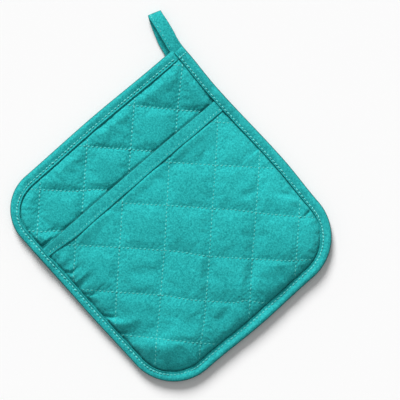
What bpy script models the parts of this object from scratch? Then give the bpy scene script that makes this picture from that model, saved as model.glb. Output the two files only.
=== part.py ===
"""Pocket pot holder: a quilted cotton pad on a neoprene back, with a quilted hand pocket.

The pad lies on its back on z = 0, with its centre over the origin. +Y points along the pad from the
closed foot of the pocket to its open mouth, and +X to the side whose tape carries on as the hanging loop.

Every piece is worked out in a flat pattern, in millimetres, and then settled into its lying shape.
"""
import math

import bmesh
import bpy
from mathutils import Vector

MM = 0.001
GAP = 0.3                    # clearance between neighbouring pieces

# The pad's flat pattern: a rectangle with rounded corners.
HALF_WIDTH = 94.2            # X
HALF_LENGTH = 101.2          # Y
CORNER_RADIUS = {("left", "top"): 33.0, ("left", "foot"): 39.0, ("right", "foot"): 41.0}
LOOP_CORNER_RADIUS = 12.0    # only on the pieces that lie inside the edge tape

# How far each edge of the lying pad strays from its pattern.
EDGE_SWAY = (
    # side, place along it, outward
    ("left", -70.0, -1.2),
    ("left", 0.0, 0.3),
    ("left", 70.0, 1.0),
    ("right", -60.0, -0.7),
    ("right", -20.0, 0.6),
    ("right", 60.0, -1.7),
    ("right", 92.0, -0.7),
    ("top", -60.0, 0.1),
    ("top", 0.0, 0.6),
    ("top", 80.0, -1.2),
    ("foot", -50.0, -0.7),
    ("foot", 0.0, 0.8),
    ("foot", 50.0, -0.2),
)

# Edge tape: a U in section, round outside, with two flat flanges.
TAPE = 1.0                   # thickness of the sewn tape
EDGE_WIDTH = 8.7             # from the outer edge to the end of a flange
EDGE_HEIGHT = 6.7            # outside height
TUCK = 3.7                   # how far the layers stay in from the outer edge
TAPE_START = 13.3            # the tape starts this far short of the loop corner, past the loop's foot
MOUTH_BUMP = 1.3             # extra height where the pocket's mouth tape runs into the edge

# Neoprene back.
BACK_TOP = 2.4
BACK_EDGE_UNDERSIDE = TAPE + GAP

# Quilted front panel with its filling.
BODY_UNDERSIDE = BACK_TOP + GAP
BODY_EDGE_TOP = 3.9          # pressed flat in the edge, beside the pocket
BODY_EDGE_TOP_FREE = 5.4     # pressed flat in the edge, past the pocket's mouth
BODY_CHANNEL_TOP = 5.0
BODY_PUFF_TOP = 6.6

# Pocket panel.
POCKET_MOUTH_Y = 50.6        # cut edge, inside its own tape
POCKET_EDGE_THICKNESS = 1.2
POCKET_CHANNEL_THICKNESS = 1.7
POCKET_PUFF_THICKNESS = 2.9
HAND_ROOM = 4.9              # rise of the pocket off the body
MOUTH_ROOM = 1.0             # extra rise at the mouth, for the tape's lower leg

# Soft folds that run in from the pocket's sewn edges, each a ridge that dies away.
POCKET_FOLDS = (
    # place, x, y, heading in degrees, length, half width, height
    ("left, under the mouth", -88.0, 15.0, -2.0, 26.0, 5.0, 1.2),
    ("left, middle", -89.0, -23.0, -42.0, 32.0, 6.0, 2.0),
    ("left, low", -88.0, -50.0, -38.0, 24.0, 6.5, 1.3),
    ("right, low", 88.0, -58.0, 124.0, 36.0, 7.0, 1.5),
)

# Mouth tape.
MOUTH_TAPE_WIDTH = 10.5
MOUTH_TAPE_PRESSED = 0.7     # its thickness inside the edge
MOUTH_RAMP = 9.0             # length over which the layers rise to the tape

# Quilting: two families of channels at 45 degrees.
QUILT_PITCH = 33.5
BODY_QUILT_PHASE = (-2.2, 19.7)      # along x - y, along x + y
POCKET_QUILT_PHASE = (-5.8, 13.0)

# Cross rows of the panels, closer together beside the round corners.
FOOT_TURN = 36.0             # radius of the panels' foot corners
TOP_TURN = 29.0              # radius of their top left corner
CORNER_ROWS = 6
BACK_ROW_SPACING = 12.0
QUILTED_ROW_SPACING = 7.0

# Hanging loop: the side tape sewn shut and folded back under the corner.
LOOP_WIDTH = 10.4
LOOP_THICKNESS = 1.8
LOOP_GROUND_GAP = 0.1                # the lower leg hangs just clear of the ground
CORNER_LIFT = LOOP_GROUND_GAP + LOOP_THICKNESS + GAP   # the corner rides on the lower leg
LOOP_PATH = (
    # place, x, y, z, turn of its width in degrees
    ("inside the edge tape", 86.6, 99.0, 5.6, 0.0),
    ("leaving the corner", 87.7, 103.0, 6.5, -4.0),
    ("upper leg, low", 89.6, 109.5, 7.8, -10.0),
    ("upper leg, high", 91.9, 120.0, 7.7, -14.0),
    ("bend, upper side", 93.5, 127.4, 5.8, -18.0),
    ("tip", 94.1, 129.6, 3.6, -19.0),
    ("bend, lower side", 92.9, 126.8, 1.4, -19.0),
    ("lower leg, high", 90.0, 119.3, 1.0, -18.0),
    ("lower leg, low", 86.9, 109.5, 1.0, -17.0),
    ("under the corner", 84.4, 100.5, 1.0, -14.0),
    ("sewn end", 82.8, 94.5, 1.0, -12.0),
)

TEAL = (0.020, 0.470, 0.465)
TEAL_TAPE = (0.018, 0.430, 0.430)
CHARCOAL = (0.048, 0.043, 0.041)


def ease(value, low, high):
    """Smooth step from 0 at low to 1 at high."""
    part = min(max((value - low) / (high - low), 0.0), 1.0)
    return part * part * (3.0 - 2.0 * part)


def blend(first, second, part):
    """Value that lies part of the way from first to second."""
    return first + (second - first) * part


def sway(side, along):
    """Outward stray of one side of the lying pad, at a place along it."""
    rows = [(place, outward) for name, place, outward in EDGE_SWAY if name == side]
    if along <= rows[0][0]:
        return rows[0][1]
    for (low, before), (high, after) in zip(rows, rows[1:]):
        if along <= high:
            return blend(before, after, ease(along, low, high))
    return rows[-1][1]


def corner_lift(x, y):
    """Height by which the loop's lower leg raises the corner above it."""
    distance = math.hypot(x - HALF_WIDTH, y - HALF_LENGTH)
    return CORNER_LIFT * (1.0 - ease(distance, 24.0, 62.0))


def settle(x, y, z):
    """Place in the lying pad of a point of the flat pattern."""
    across = 0.5 + 0.5 * x / HALF_WIDTH
    up = 0.5 + 0.5 * y / HALF_LENGTH
    shift_x = across * sway("right", y) - (1.0 - across) * sway("left", y)
    shift_y = up * sway("top", x) - (1.0 - up) * sway("foot", x)
    return Vector((x + shift_x, y + shift_y, z + corner_lift(x, y)))


def radius_at(x, y):
    """Pattern corner radius of the quarter that holds a point."""
    side = "left" if x < 0.0 else "right"
    end = "foot" if y < 0.0 else "top"
    return CORNER_RADIUS.get((side, end), LOOP_CORNER_RADIUS)


def inset(x, y):
    """Distance of a pattern point in from the pad's outer edge."""
    radius = radius_at(x, y)
    if (x > 0.0) and (y > 0.0):
        radius = 0.0
    beyond_x = abs(x) - (HALF_WIDTH - radius)
    beyond_y = abs(y) - (HALF_LENGTH - radius)
    outside = math.hypot(max(beyond_x, 0.0), max(beyond_y, 0.0))
    return radius - outside - min(max(beyond_x, beyond_y), 0.0)


def side_x(side, y, margin):
    """X of the pattern's left or right edge at a height y, moved in by a margin."""
    direction = -1.0 if side == "left" else 1.0
    radius = radius_at(direction, y)
    into_corner = abs(y) - (HALF_LENGTH - radius)
    if into_corner <= 0.0:
        return direction * (HALF_WIDTH - margin)
    reach = math.sqrt(max((radius - margin) ** 2 - into_corner ** 2, 0.0))
    return direction * (HALF_WIDTH - radius + reach)


def row_heights(low, high, low_radius, high_radius, spacing, corner_steps):
    """Heights of the cross rows of a panel, closer together beside its round corners."""
    turns = [math.radians(90.0 * step / corner_steps) for step in range(corner_steps + 1)]
    heights = [low + low_radius * (1.0 - math.cos(turn)) for turn in turns]
    if high_radius > 0.0:
        top = [high - high_radius * (1.0 - math.cos(turn)) for turn in reversed(turns)]
    else:
        top = [high]
    steps = max(1, round((top[0] - heights[-1]) / spacing))
    between = [blend(heights[-1], top[0], step / steps) for step in range(1, steps)]
    return heights + between + top


def puff(x, y, phase):
    """Quilting: 0 in a sewn channel, 1 in the middle of a diamond."""
    first = math.sin(math.pi * ((x - y) / math.sqrt(2.0) - phase[0]) / QUILT_PITCH)
    second = math.sin(math.pi * ((x + y) / math.sqrt(2.0) - phase[1]) / QUILT_PITCH)
    return math.sqrt(abs(first * second))


def near_mouth(y):
    """1 where the mouth tape lies, easing to 0 on both sides of it."""
    top = POCKET_MOUTH_Y + GAP + TAPE
    bottom = top - MOUTH_TAPE_WIDTH
    return ease(y, bottom - MOUTH_RAMP, bottom - 2.0) * (1.0 - ease(y, top + 2.0, top + MOUTH_RAMP))


def body_edge_top(y):
    """Top of the body where the edge tape presses it."""
    pressed = BODY_EDGE_TOP - GAP * near_mouth(y)
    return blend(pressed, BODY_EDGE_TOP_FREE, ease(y, POCKET_MOUTH_Y + 5.0, POCKET_MOUTH_Y + 14.0))


def field(x, y):
    """0 under the edge tape, 1 in the open field of the pad."""
    return ease(inset(x, y), EDGE_WIDTH, EDGE_WIDTH + 20.0)


def body_envelope(x, y):
    """Smooth surface over the tops of the body's diamonds."""
    return blend(body_edge_top(y), BODY_PUFF_TOP, field(x, y))


def body_top(x, y):
    quilted = blend(BODY_CHANNEL_TOP, BODY_PUFF_TOP, puff(x, y, BODY_QUILT_PHASE))
    return blend(body_edge_top(y), quilted, field(x, y))


def fold_height(x, y):
    """Height of the pocket's soft folds, nothing where the edge tape holds the panel."""
    total = 0.0
    for _, start_x, start_y, heading, length, half_width, height in POCKET_FOLDS:
        ahead = Vector((math.cos(math.radians(heading)), math.sin(math.radians(heading))))
        offset = Vector((x - start_x, y - start_y))
        across = ahead.cross(offset) / half_width
        fading = 1.0 - ease(abs(offset.dot(ahead)), 0.25 * length, length)
        total += height * math.exp(-across * across) * fading
    return total * ease(inset(x, y), EDGE_WIDTH, EDGE_WIDTH + 7.0)


def pocket_underside(x, y):
    room = HAND_ROOM * ease(inset(x, y), EDGE_WIDTH, EDGE_WIDTH + 34.0)
    return body_envelope(x, y) + GAP + MOUTH_ROOM * near_mouth(y) + room + fold_height(x, y)


def pocket_thickness(x, y):
    pressed = POCKET_EDGE_THICKNESS - 0.4 * near_mouth(y)
    flatness = max(near_mouth(y), 1.0 - field(x, y))
    quilted = blend(POCKET_CHANNEL_THICKNESS, POCKET_PUFF_THICKNESS, puff(x, y, POCKET_QUILT_PHASE))
    plain = blend(pressed, POCKET_CHANNEL_THICKNESS, field(x, y))
    return blend(quilted, plain, flatness)


def make_material(name, colour, roughness):
    material = bpy.data.materials.new(name)
    material.use_nodes = True
    shader = material.node_tree.nodes["Principled BSDF"]
    shader.inputs["Base Color"].default_value = (*colour, 1.0)
    shader.inputs["Roughness"].default_value = roughness
    shader.inputs["Metallic"].default_value = 0.0
    return material


def cloth_piece(name, columns, rows, lower, upper, material, collection):
    """One closed piece between two surfaces, each given on a grid of columns by rows.

    lower and upper take a column and a row number and return a point in millimetres.
    """
    mesh = bmesh.new()
    bmesh.ops.create_grid(mesh, x_segments=columns, y_segments=rows, size=0.5)
    under = list(mesh.verts)
    cells = [(round((v.co.x + 0.5) * columns), round((v.co.y + 0.5) * rows)) for v in under]
    raised = bmesh.ops.extrude_face_region(mesh, geom=mesh.faces[:])
    over = [item for item in raised["geom"] if isinstance(item, bmesh.types.BMVert)]
    over_cells = [(round((v.co.x + 0.5) * columns), round((v.co.y + 0.5) * rows)) for v in over]
    for vertex, (column, row) in zip(under, cells):
        vertex.co = lower(column, row) * MM
    for vertex, (column, row) in zip(over, over_cells):
        vertex.co = upper(column, row) * MM
    bmesh.ops.recalc_face_normals(mesh, faces=mesh.faces[:])
    data = bpy.data.meshes.new(name)
    mesh.to_mesh(data)
    mesh.free()
    piece = bpy.data.objects.new(name, data)
    collection.objects.link(piece)
    data.materials.append(material)
    data.shade_smooth()
    data.set_sharp_from_angle(angle=math.radians(50.0))
    return piece


def merge_flat_faces(piece):
    """Join the faces of a piece that lie in one plane, such as a flat underside."""
    flat = piece.modifiers.new("flat faces", "DECIMATE")
    flat.decimate_type = "DISSOLVE"
    flat.angle_limit = math.radians(0.05)


def panel_point(column, columns, y):
    """Pattern X of a column, on a row at height y that spans the pad inside the edge tape."""
    return blend(side_x("left", y, TUCK), side_x("right", y, TUCK), column / columns)


def build_back(material, collection):
    """Neoprene sheet: flat on the ground, raised at its rim to let the edge tape pass below."""
    columns = 26
    low = -HALF_LENGTH + TUCK
    high = HALF_LENGTH - TUCK
    heights = row_heights(low, high, FOOT_TURN, TOP_TURN, BACK_ROW_SPACING, CORNER_ROWS)

    def lower(column, row):
        y = heights[row]
        x = panel_point(column, columns, y)
        raised = 1.0 - ease(inset(x, y), EDGE_WIDTH + 7.5, EDGE_WIDTH + 13.0)
        return settle(x, y, BACK_EDGE_UNDERSIDE * raised)

    def upper(column, row):
        y = heights[row]
        return settle(panel_point(column, columns, y), y, BACK_TOP)

    back = cloth_piece("neoprene_back", columns, len(heights) - 1, lower, upper, material, collection)
    merge_flat_faces(back)


def build_body(material, collection):
    """Front panel with its filling, drawn down along the quilting and at the edge."""
    columns = 30
    low = -HALF_LENGTH + TUCK
    high = HALF_LENGTH - TUCK
    heights = row_heights(low, high, FOOT_TURN, TOP_TURN, QUILTED_ROW_SPACING, CORNER_ROWS)

    def lower(column, row):
        y = heights[row]
        return settle(panel_point(column, columns, y), y, BODY_UNDERSIDE)

    def upper(column, row):
        y = heights[row]
        x = panel_point(column, columns, y)
        return settle(x, y, body_top(x, y))

    body = cloth_piece("quilted_body", columns, len(heights) - 1, lower, upper, material, collection)
    merge_flat_faces(body)


def build_pocket(material, collection):
    """Pocket panel: arched off the body, caught in the edge tape on three sides."""
    columns = 28
    heights = row_heights(TUCK - HALF_LENGTH, POCKET_MOUTH_Y, FOOT_TURN, 0.0, QUILTED_ROW_SPACING,
                          CORNER_ROWS)

    def lower(column, row):
        y = heights[row]
        x = panel_point(column, columns, y)
        return settle(x, y, pocket_underside(x, y))

    def upper(column, row):
        y = heights[row]
        x = panel_point(column, columns, y)
        return settle(x, y, pocket_underside(x, y) + pocket_thickness(x, y))

    cloth_piece("pocket_panel", columns, len(heights) - 1, lower, upper, material, collection)


def build_mouth_tape(material, collection):
    """Tape folded over the pocket's open edge: lower leg, round fold and upper leg."""
    columns = 26
    fold_steps = 4
    leg_steps = 2
    rows = 2 * leg_steps + fold_steps
    top_y = POCKET_MOUTH_Y + GAP
    leg_end = top_y + TAPE - MOUTH_TAPE_WIDTH

    def skin(column, row, offset):
        """Point of the tape's inner face, or of its outer one with offset 1."""
        fold = min(max((row - leg_steps) / fold_steps, 0.0), 1.0)
        turn = math.pi * (fold - 0.5)
        if row < leg_steps:
            y = blend(leg_end, top_y, row / leg_steps)
        elif row > leg_steps + fold_steps:
            y = blend(top_y, leg_end, (row - leg_steps - fold_steps) / leg_steps)
        else:
            y = top_y
        x = panel_point(column, columns, y)
        thickness = blend(MOUTH_TAPE_PRESSED, TAPE, field(x, y))
        grip = min(y, POCKET_MOUTH_Y)
        underside = pocket_underside(x, grip)
        depth = pocket_thickness(x, grip)
        middle = underside + 0.5 * depth
        reach = 0.5 * depth + GAP + thickness * offset
        bulge = TAPE * offset * math.cos(turn)
        return settle(x, y + bulge, middle + reach * math.sin(turn))

    def lower(column, row):
        return skin(column, row, 0.0)

    def upper(column, row):
        return skin(column, row, 1.0)

    cloth_piece("pocket_mouth_binding", columns, rows, lower, upper, material, collection)


def edge_walk():
    """Points of the pad's outer edge with their inward directions, both in the pattern.

    The walk starts on the top edge beside the loop corner, goes round by the left side and the
    foot, and ends at the top of the right side.
    """
    long_step = 10.0
    mouth_step = 3.5
    corner_steps = 9
    stops = []

    def straight(start, end, inward, spacing=long_step):
        length = (Vector(end) - Vector(start)).length
        steps = max(1, round(length / spacing))
        for step in range(steps):
            stops.append((Vector(start).lerp(Vector(end), step / steps), Vector(inward)))

    def corner(centre, radius, first_degrees):
        for step in range(corner_steps):
            turn = math.radians(first_degrees + 90.0 * step / corner_steps)
            out = Vector((math.cos(turn), math.sin(turn)))
            stops.append((Vector(centre) + radius * out, -out))

    top_left = CORNER_RADIUS["left", "top"]
    foot_left = CORNER_RADIUS["left", "foot"]
    foot_right = CORNER_RADIUS["right", "foot"]
    width, length = HALF_WIDTH, HALF_LENGTH
    mouth_top = POCKET_MOUTH_Y + GAP + TAPE + MOUTH_RAMP
    mouth_bottom = mouth_top - MOUTH_TAPE_WIDTH - 2.0 * MOUTH_RAMP
    straight((width - TAPE_START, length), (top_left - width, length), (0.0, -1.0))
    corner((top_left - width, length - top_left), top_left, 90.0)
    straight((-width, length - top_left), (-width, mouth_top), (1.0, 0.0))
    straight((-width, mouth_top), (-width, mouth_bottom), (1.0, 0.0), mouth_step)
    straight((-width, mouth_bottom), (-width, foot_left - length), (1.0, 0.0))
    corner((foot_left - width, foot_left - length), foot_left, 180.0)
    straight((foot_left - width, -length), (width - foot_right, -length), (0.0, 1.0))
    corner((width - foot_right, foot_right - length), foot_right, 270.0)
    straight((width, foot_right - length), (width, mouth_bottom), (-1.0, 0.0))
    straight((width, mouth_bottom), (width, mouth_top), (-1.0, 0.0), mouth_step)
    straight((width, mouth_top), (width, length), (-1.0, 0.0))
    stops.append((Vector((width, length)), Vector((-1.0, 0.0))))
    return stops


def build_edge_tape(material, collection):
    """Tape folded round the pad's edge, from its end at the loop corner to its end beside it."""
    stops = edge_walk()
    fold_steps = 6
    rows = fold_steps + 2

    def skin(column, row, offset):
        """Point of the tape's inner face, or of its outer one with offset 1."""
        point, inward = stops[column]
        bump = MOUTH_BUMP * near_mouth(point.y)
        height = EDGE_HEIGHT + bump
        middle = 0.5 * height
        rise = middle - TAPE * (1.0 - offset)
        roll = 0.5 * EDGE_HEIGHT
        reach = roll - TAPE * (1.0 - offset)
        if row == 0:
            depth, z = EDGE_WIDTH, middle - rise
        elif row == rows:
            depth, z = EDGE_WIDTH, middle + rise
        else:
            turn = math.pi * ((row - 1) / fold_steps - 0.5)
            depth = roll - reach * math.cos(turn)
            z = middle + rise * math.sin(turn)
        place = point + inward * depth
        return settle(place.x, place.y, z)

    def lower(column, row):
        return skin(column, row, 0.0)

    def upper(column, row):
        return skin(column, row, 1.0)

    cloth_piece("edge_binding", len(stops) - 1, rows, lower, upper, material, collection)


def smooth_row(table, place):
    """Values of a table's numeric columns at a real-valued row number, on a smooth curve."""
    index = min(int(place), len(table) - 2)
    part = place - index
    rows = [table[min(max(index + step, 0), len(table) - 1)][1:] for step in (-1, 0, 1, 2)]
    weights = (
        -0.5 * part + part ** 2 - 0.5 * part ** 3,
        1.0 - 2.5 * part ** 2 + 1.5 * part ** 3,
        0.5 * part + 2.0 * part ** 2 - 1.5 * part ** 3,
        -0.5 * part ** 2 + 0.5 * part ** 3,
    )
    return [sum(w * row[k] for w, row in zip(weights, rows)) for k in range(len(rows[0]))]


def build_loop(material, collection):
    """Hanging loop: a flat strip that leaves the side tape, turns over and comes back below."""
    steps_per_row = 3
    rows = steps_per_row * (len(LOOP_PATH) - 1)
    columns = 2

    def frame(row):
        """Middle, width direction and face direction of the strip at a row."""
        place = row / steps_per_row
        x, y, z, turn = smooth_row(LOOP_PATH, place)
        ahead = Vector(smooth_row(LOOP_PATH, min(place + 0.05, len(LOOP_PATH) - 1.0))[:3])
        behind = Vector(smooth_row(LOOP_PATH, max(place - 0.05, 0.0))[:3])
        width = Vector((math.cos(math.radians(turn)), math.sin(math.radians(turn)), 0.0))
        face = width.cross(ahead - behind).normalized()
        return Vector((x, y, z)), width, face

    def skin(column, row, offset):
        middle, width, face = frame(row)
        across = (column / columns - 0.5) * LOOP_WIDTH
        return middle + width * across + face * (offset * LOOP_THICKNESS)

    def lower(column, row):
        return skin(column, row, -0.5)

    def upper(column, row):
        return skin(column, row, 0.5)

    cloth_piece("hanging_loop", columns, rows, lower, upper, material, collection)


def main():
    for old in list(bpy.data.objects):
        bpy.data.objects.remove(old, do_unlink=True)
    collection = bpy.data.collections.new("pot_holder")
    bpy.context.scene.collection.children.link(collection)
    cotton = make_material("teal_cotton", TEAL, 0.85)
    tape = make_material("teal_tape", TEAL_TAPE, 0.8)
    neoprene = make_material("charcoal_neoprene", CHARCOAL, 0.7)
    build_back(neoprene, collection)
    build_body(cotton, collection)
    build_pocket(cotton, collection)
    build_mouth_tape(tape, collection)
    build_edge_tape(tape, collection)
    build_loop(tape, collection)


main()
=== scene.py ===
"""Looks of the pocket pot holder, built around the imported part.

The quilted front, the neoprene back, the hand pocket, the tapes, the hanging loop and every stitch are
modelled in the part's own frame: metres, +Z up out of the quilted front, +Y towards the pocket's mouth,
+X towards the side whose tape carries on as the loop. Shapes are worked out in millimetres in a flat
pattern, then settled into the lying shape.
"""
import logging
import math
from dataclasses import dataclass, field
from enum import Enum
from typing import Callable, Iterable, List, Sequence, Tuple

import bmesh
import bpy
import numpy as np
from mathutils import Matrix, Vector


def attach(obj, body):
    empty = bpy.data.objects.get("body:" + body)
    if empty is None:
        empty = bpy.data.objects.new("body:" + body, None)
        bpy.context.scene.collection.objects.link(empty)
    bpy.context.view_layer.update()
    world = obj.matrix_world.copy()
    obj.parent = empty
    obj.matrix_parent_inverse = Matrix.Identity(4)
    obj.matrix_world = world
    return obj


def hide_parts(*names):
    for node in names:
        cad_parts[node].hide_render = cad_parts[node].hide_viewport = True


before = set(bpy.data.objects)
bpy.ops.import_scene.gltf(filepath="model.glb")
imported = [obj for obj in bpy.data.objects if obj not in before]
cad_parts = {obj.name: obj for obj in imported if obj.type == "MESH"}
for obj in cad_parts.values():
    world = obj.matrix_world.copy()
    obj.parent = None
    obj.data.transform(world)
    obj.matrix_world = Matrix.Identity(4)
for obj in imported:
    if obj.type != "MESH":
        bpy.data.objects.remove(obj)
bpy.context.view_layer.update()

MM = 0.001
LOG = logging.getLogger("pot_holder")
COLOUR_MIX_INPUTS = (0, 6, 7)     # the factor and the two colours of a Mix node
COLOUR_MIX_OUTPUT = 2
QUARTER_TURN = 0.5 * math.pi
DIAGONAL = math.sqrt(2.0)

Array = np.ndarray
Field = Callable[[Array, Array], Array]


class Side(Enum):
    """The four edges of the pad."""

    LEFT = "left"
    RIGHT = "right"
    TOP = "top"
    FOOT = "foot"


class Family(Enum):
    """The two directions of the diagonal quilting."""

    RISING = "rising"      # lines of constant x - y
    FALLING = "falling"    # lines of constant x + y


def ease(value: Array, low: float, high: float) -> Array:
    """Smooth step from 0 at low to 1 at high.

    Args:
        value: Numbers to ease.
        low: Value that gives 0.
        high: Value that gives 1.

    Returns:
        The eased numbers, in the shape of value.
    """
    part = np.clip((np.asarray(value, float) - low) / (high - low), 0.0, 1.0)
    return part * part * (3.0 - 2.0 * part)


def blend(first: Array, second: Array, part: Array) -> Array:
    """Mix of two values, all first at 0 and all second at 1."""
    return first + (second - first) * part


def value_noise(x: Array, y: Array, cell: float, seed: int) -> Array:
    """Smooth random field with features about one cell wide.

    Args:
        x: First coordinate.
        y: Second coordinate.
        cell: Size of a feature, in the unit of the coordinates.
        seed: Picks one field among many.

    Returns:
        Values from -1 to 1.
    """
    table = np.random.default_rng(seed).uniform(-1.0, 1.0, (64, 64))
    across, up = np.asarray(x, float) / cell, np.asarray(y, float) / cell
    column, row = np.floor(across).astype(int), np.floor(up).astype(int)
    part_x, part_y = ease(across - column, 0.0, 1.0), ease(up - row, 0.0, 1.0)
    low = blend(table[row % 64, column % 64], table[row % 64, (column + 1) % 64], part_x)
    high = blend(table[(row + 1) % 64, column % 64], table[(row + 1) % 64, (column + 1) % 64], part_x)
    return blend(low, high, part_y)


@dataclass(frozen=True)
class PadPattern:
    """The pad's flat pattern, and the way it settles into the lying shape. Millimetres."""

    half_width: float = 94.2
    half_length: float = 101.2
    top_left_radius: float = 33.0
    foot_left_radius: float = 39.0
    foot_right_radius: float = 41.0
    loop_corner_radius: float = 12.0
    corner_lift: float = 2.2
    lift_from: float = 24.0
    lift_to: float = 62.0
    sway: Tuple[Tuple[Side, float, float], ...] = (
        # side, place along it, outward
        (Side.LEFT, -70.0, -1.2),
        (Side.LEFT, 0.0, 0.3),
        (Side.LEFT, 70.0, 1.0),
        (Side.RIGHT, -60.0, -0.7),
        (Side.RIGHT, -20.0, 0.6),
        (Side.RIGHT, 60.0, -1.7),
        (Side.RIGHT, 92.0, -0.7),
        (Side.TOP, -60.0, 0.1),
        (Side.TOP, 0.0, 0.6),
        (Side.TOP, 80.0, -1.2),
        (Side.FOOT, -50.0, -0.7),
        (Side.FOOT, 0.0, 0.8),
        (Side.FOOT, 50.0, -0.2),
    )

    def stray(self, side: Side, along: Array) -> Array:
        """Outward stray of one side at places along it.

        Args:
            side: Side of the pad.
            along: Places along the side.

        Returns:
            Millimetres outward at each place.
        """
        rows = [(place, outward) for name, place, outward in self.sway if name is side]
        total = np.full(np.shape(along), rows[0][1], float)
        for (low, before), (high, after) in zip(rows, rows[1:]):
            total = total + (after - before) * ease(along, low, high)
        return total

    def lift(self, x: Array, y: Array) -> Array:
        """Height by which the loop's lower leg raises the corner above it."""
        distance = np.hypot(x - self.half_width, y - self.half_length)
        return self.corner_lift * (1.0 - ease(distance, self.lift_from, self.lift_to))

    def settle(self, x: Array, y: Array, z: Array) -> Array:
        """Places in the lying pad of points of the pattern.

        Args:
            x: Pattern x.
            y: Pattern y.
            z: Height in the pattern.

        Returns:
            An array of points with x, y and z in its last axis.
        """
        across = 0.5 + 0.5 * x / self.half_width
        up = 0.5 + 0.5 * y / self.half_length
        right, left = self.stray(Side.RIGHT, y), self.stray(Side.LEFT, y)
        top, foot = self.stray(Side.TOP, x), self.stray(Side.FOOT, x)
        moved_x = x + across * right - (1.0 - across) * left
        moved_y = y + up * top - (1.0 - up) * foot
        return np.stack([moved_x, moved_y, z + self.lift(x, y)], axis=-1)

    def radius(self, x: Array, y: Array, loop_corner: float) -> Array:
        """Corner radius of the quarter of the pattern that holds each point.

        Args:
            x: Pattern x of the places.
            y: Pattern y of the places.
            loop_corner: Radius to give in the quarter at the loop.

        Returns:
            Radius at each place.
        """
        left, foot = np.asarray(x) < 0.0, np.asarray(y) < 0.0
        at_foot = np.where(left, self.foot_left_radius, self.foot_right_radius)
        return np.where(foot, at_foot, np.where(left, self.top_left_radius, loop_corner))

    def inset(self, x: Array, y: Array) -> Array:
        """Distance of pattern points in from the pad's outer edge.

        Args:
            x: Pattern x of the places.
            y: Pattern y of the places.

        Returns:
            Millimetres in from the edge, negative outside it.
        """
        radius = self.radius(x, y, 0.0)
        beyond_x = np.abs(x) - (self.half_width - radius)
        beyond_y = np.abs(y) - (self.half_length - radius)
        outside = np.hypot(np.maximum(beyond_x, 0.0), np.maximum(beyond_y, 0.0))
        return radius - outside - np.minimum(np.maximum(beyond_x, beyond_y), 0.0)

    def facing(self, x: Array, y: Array) -> Tuple[Array, Array]:
        """Unit direction from each point towards the nearest edge.

        Args:
            x: Pattern x of the places.
            y: Pattern y of the places.

        Returns:
            X and y of the direction at each place.
        """
        radius = self.radius(x, y, 0.0)
        beyond_x = np.abs(x) - (self.half_width - radius)
        beyond_y = np.abs(y) - (self.half_length - radius)
        corner = (beyond_x > 0.0) & (beyond_y > 0.0)
        length = np.maximum(np.hypot(beyond_x, beyond_y), 1e-6)
        across = np.where(corner, beyond_x / length, beyond_x >= beyond_y)
        up = np.where(corner, beyond_y / length, beyond_x < beyond_y)
        return across * np.sign(x), up * np.sign(y)

    def side_x(self, sign: float, y: Array, margin: float) -> Array:
        """X of the left (-1) or right (1) edge at heights y, moved in by a margin.

        Args:
            sign: -1 for the left edge, 1 for the right.
            y: Heights in the pattern.
            margin: Millimetres in from the edge.

        Returns:
            X at each height.
        """
        y = np.asarray(y, float)
        radius = self.radius(np.full(y.shape, sign), y, self.loop_corner_radius)
        into_corner = np.maximum(np.abs(y) - (self.half_length - radius), 0.0)
        reach = np.sqrt(np.maximum((radius - margin) ** 2 - into_corner ** 2, 0.0))
        return sign * (self.half_width - radius + reach)

    def along_edge(self, x: Array, y: Array) -> Array:
        """Coordinate that runs along the nearest edge, for gathers square to it.

        Args:
            x: Pattern x of the places.
            y: Pattern y of the places.

        Returns:
            A coordinate that grows along the edge and differs from quarter to quarter.
        """
        radius = self.radius(x, y, self.loop_corner_radius)
        beyond_x = np.abs(x) - (self.half_width - radius)
        beyond_y = np.abs(y) - (self.half_length - radius)
        turn = np.arctan2(np.maximum(beyond_y, 1e-6), np.maximum(beyond_x, 1e-6))
        on_side = np.where(beyond_x > beyond_y, np.abs(y), 300.0 - np.abs(x))
        in_corner = (self.half_length - radius) + radius * turn
        both = (beyond_x > 0.0) & (beyond_y > 0.0)
        quarter = 500.0 * (np.asarray(x) > 0.0) + 1000.0 * (np.asarray(y) > 0.0)
        return np.where(both, in_corner, on_side) + quarter


@dataclass(frozen=True)
class Bend:
    """Sideways drift of one sewn line from its mark, at a place along it."""

    family: Family
    line: int
    along: float
    drift: float


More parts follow.
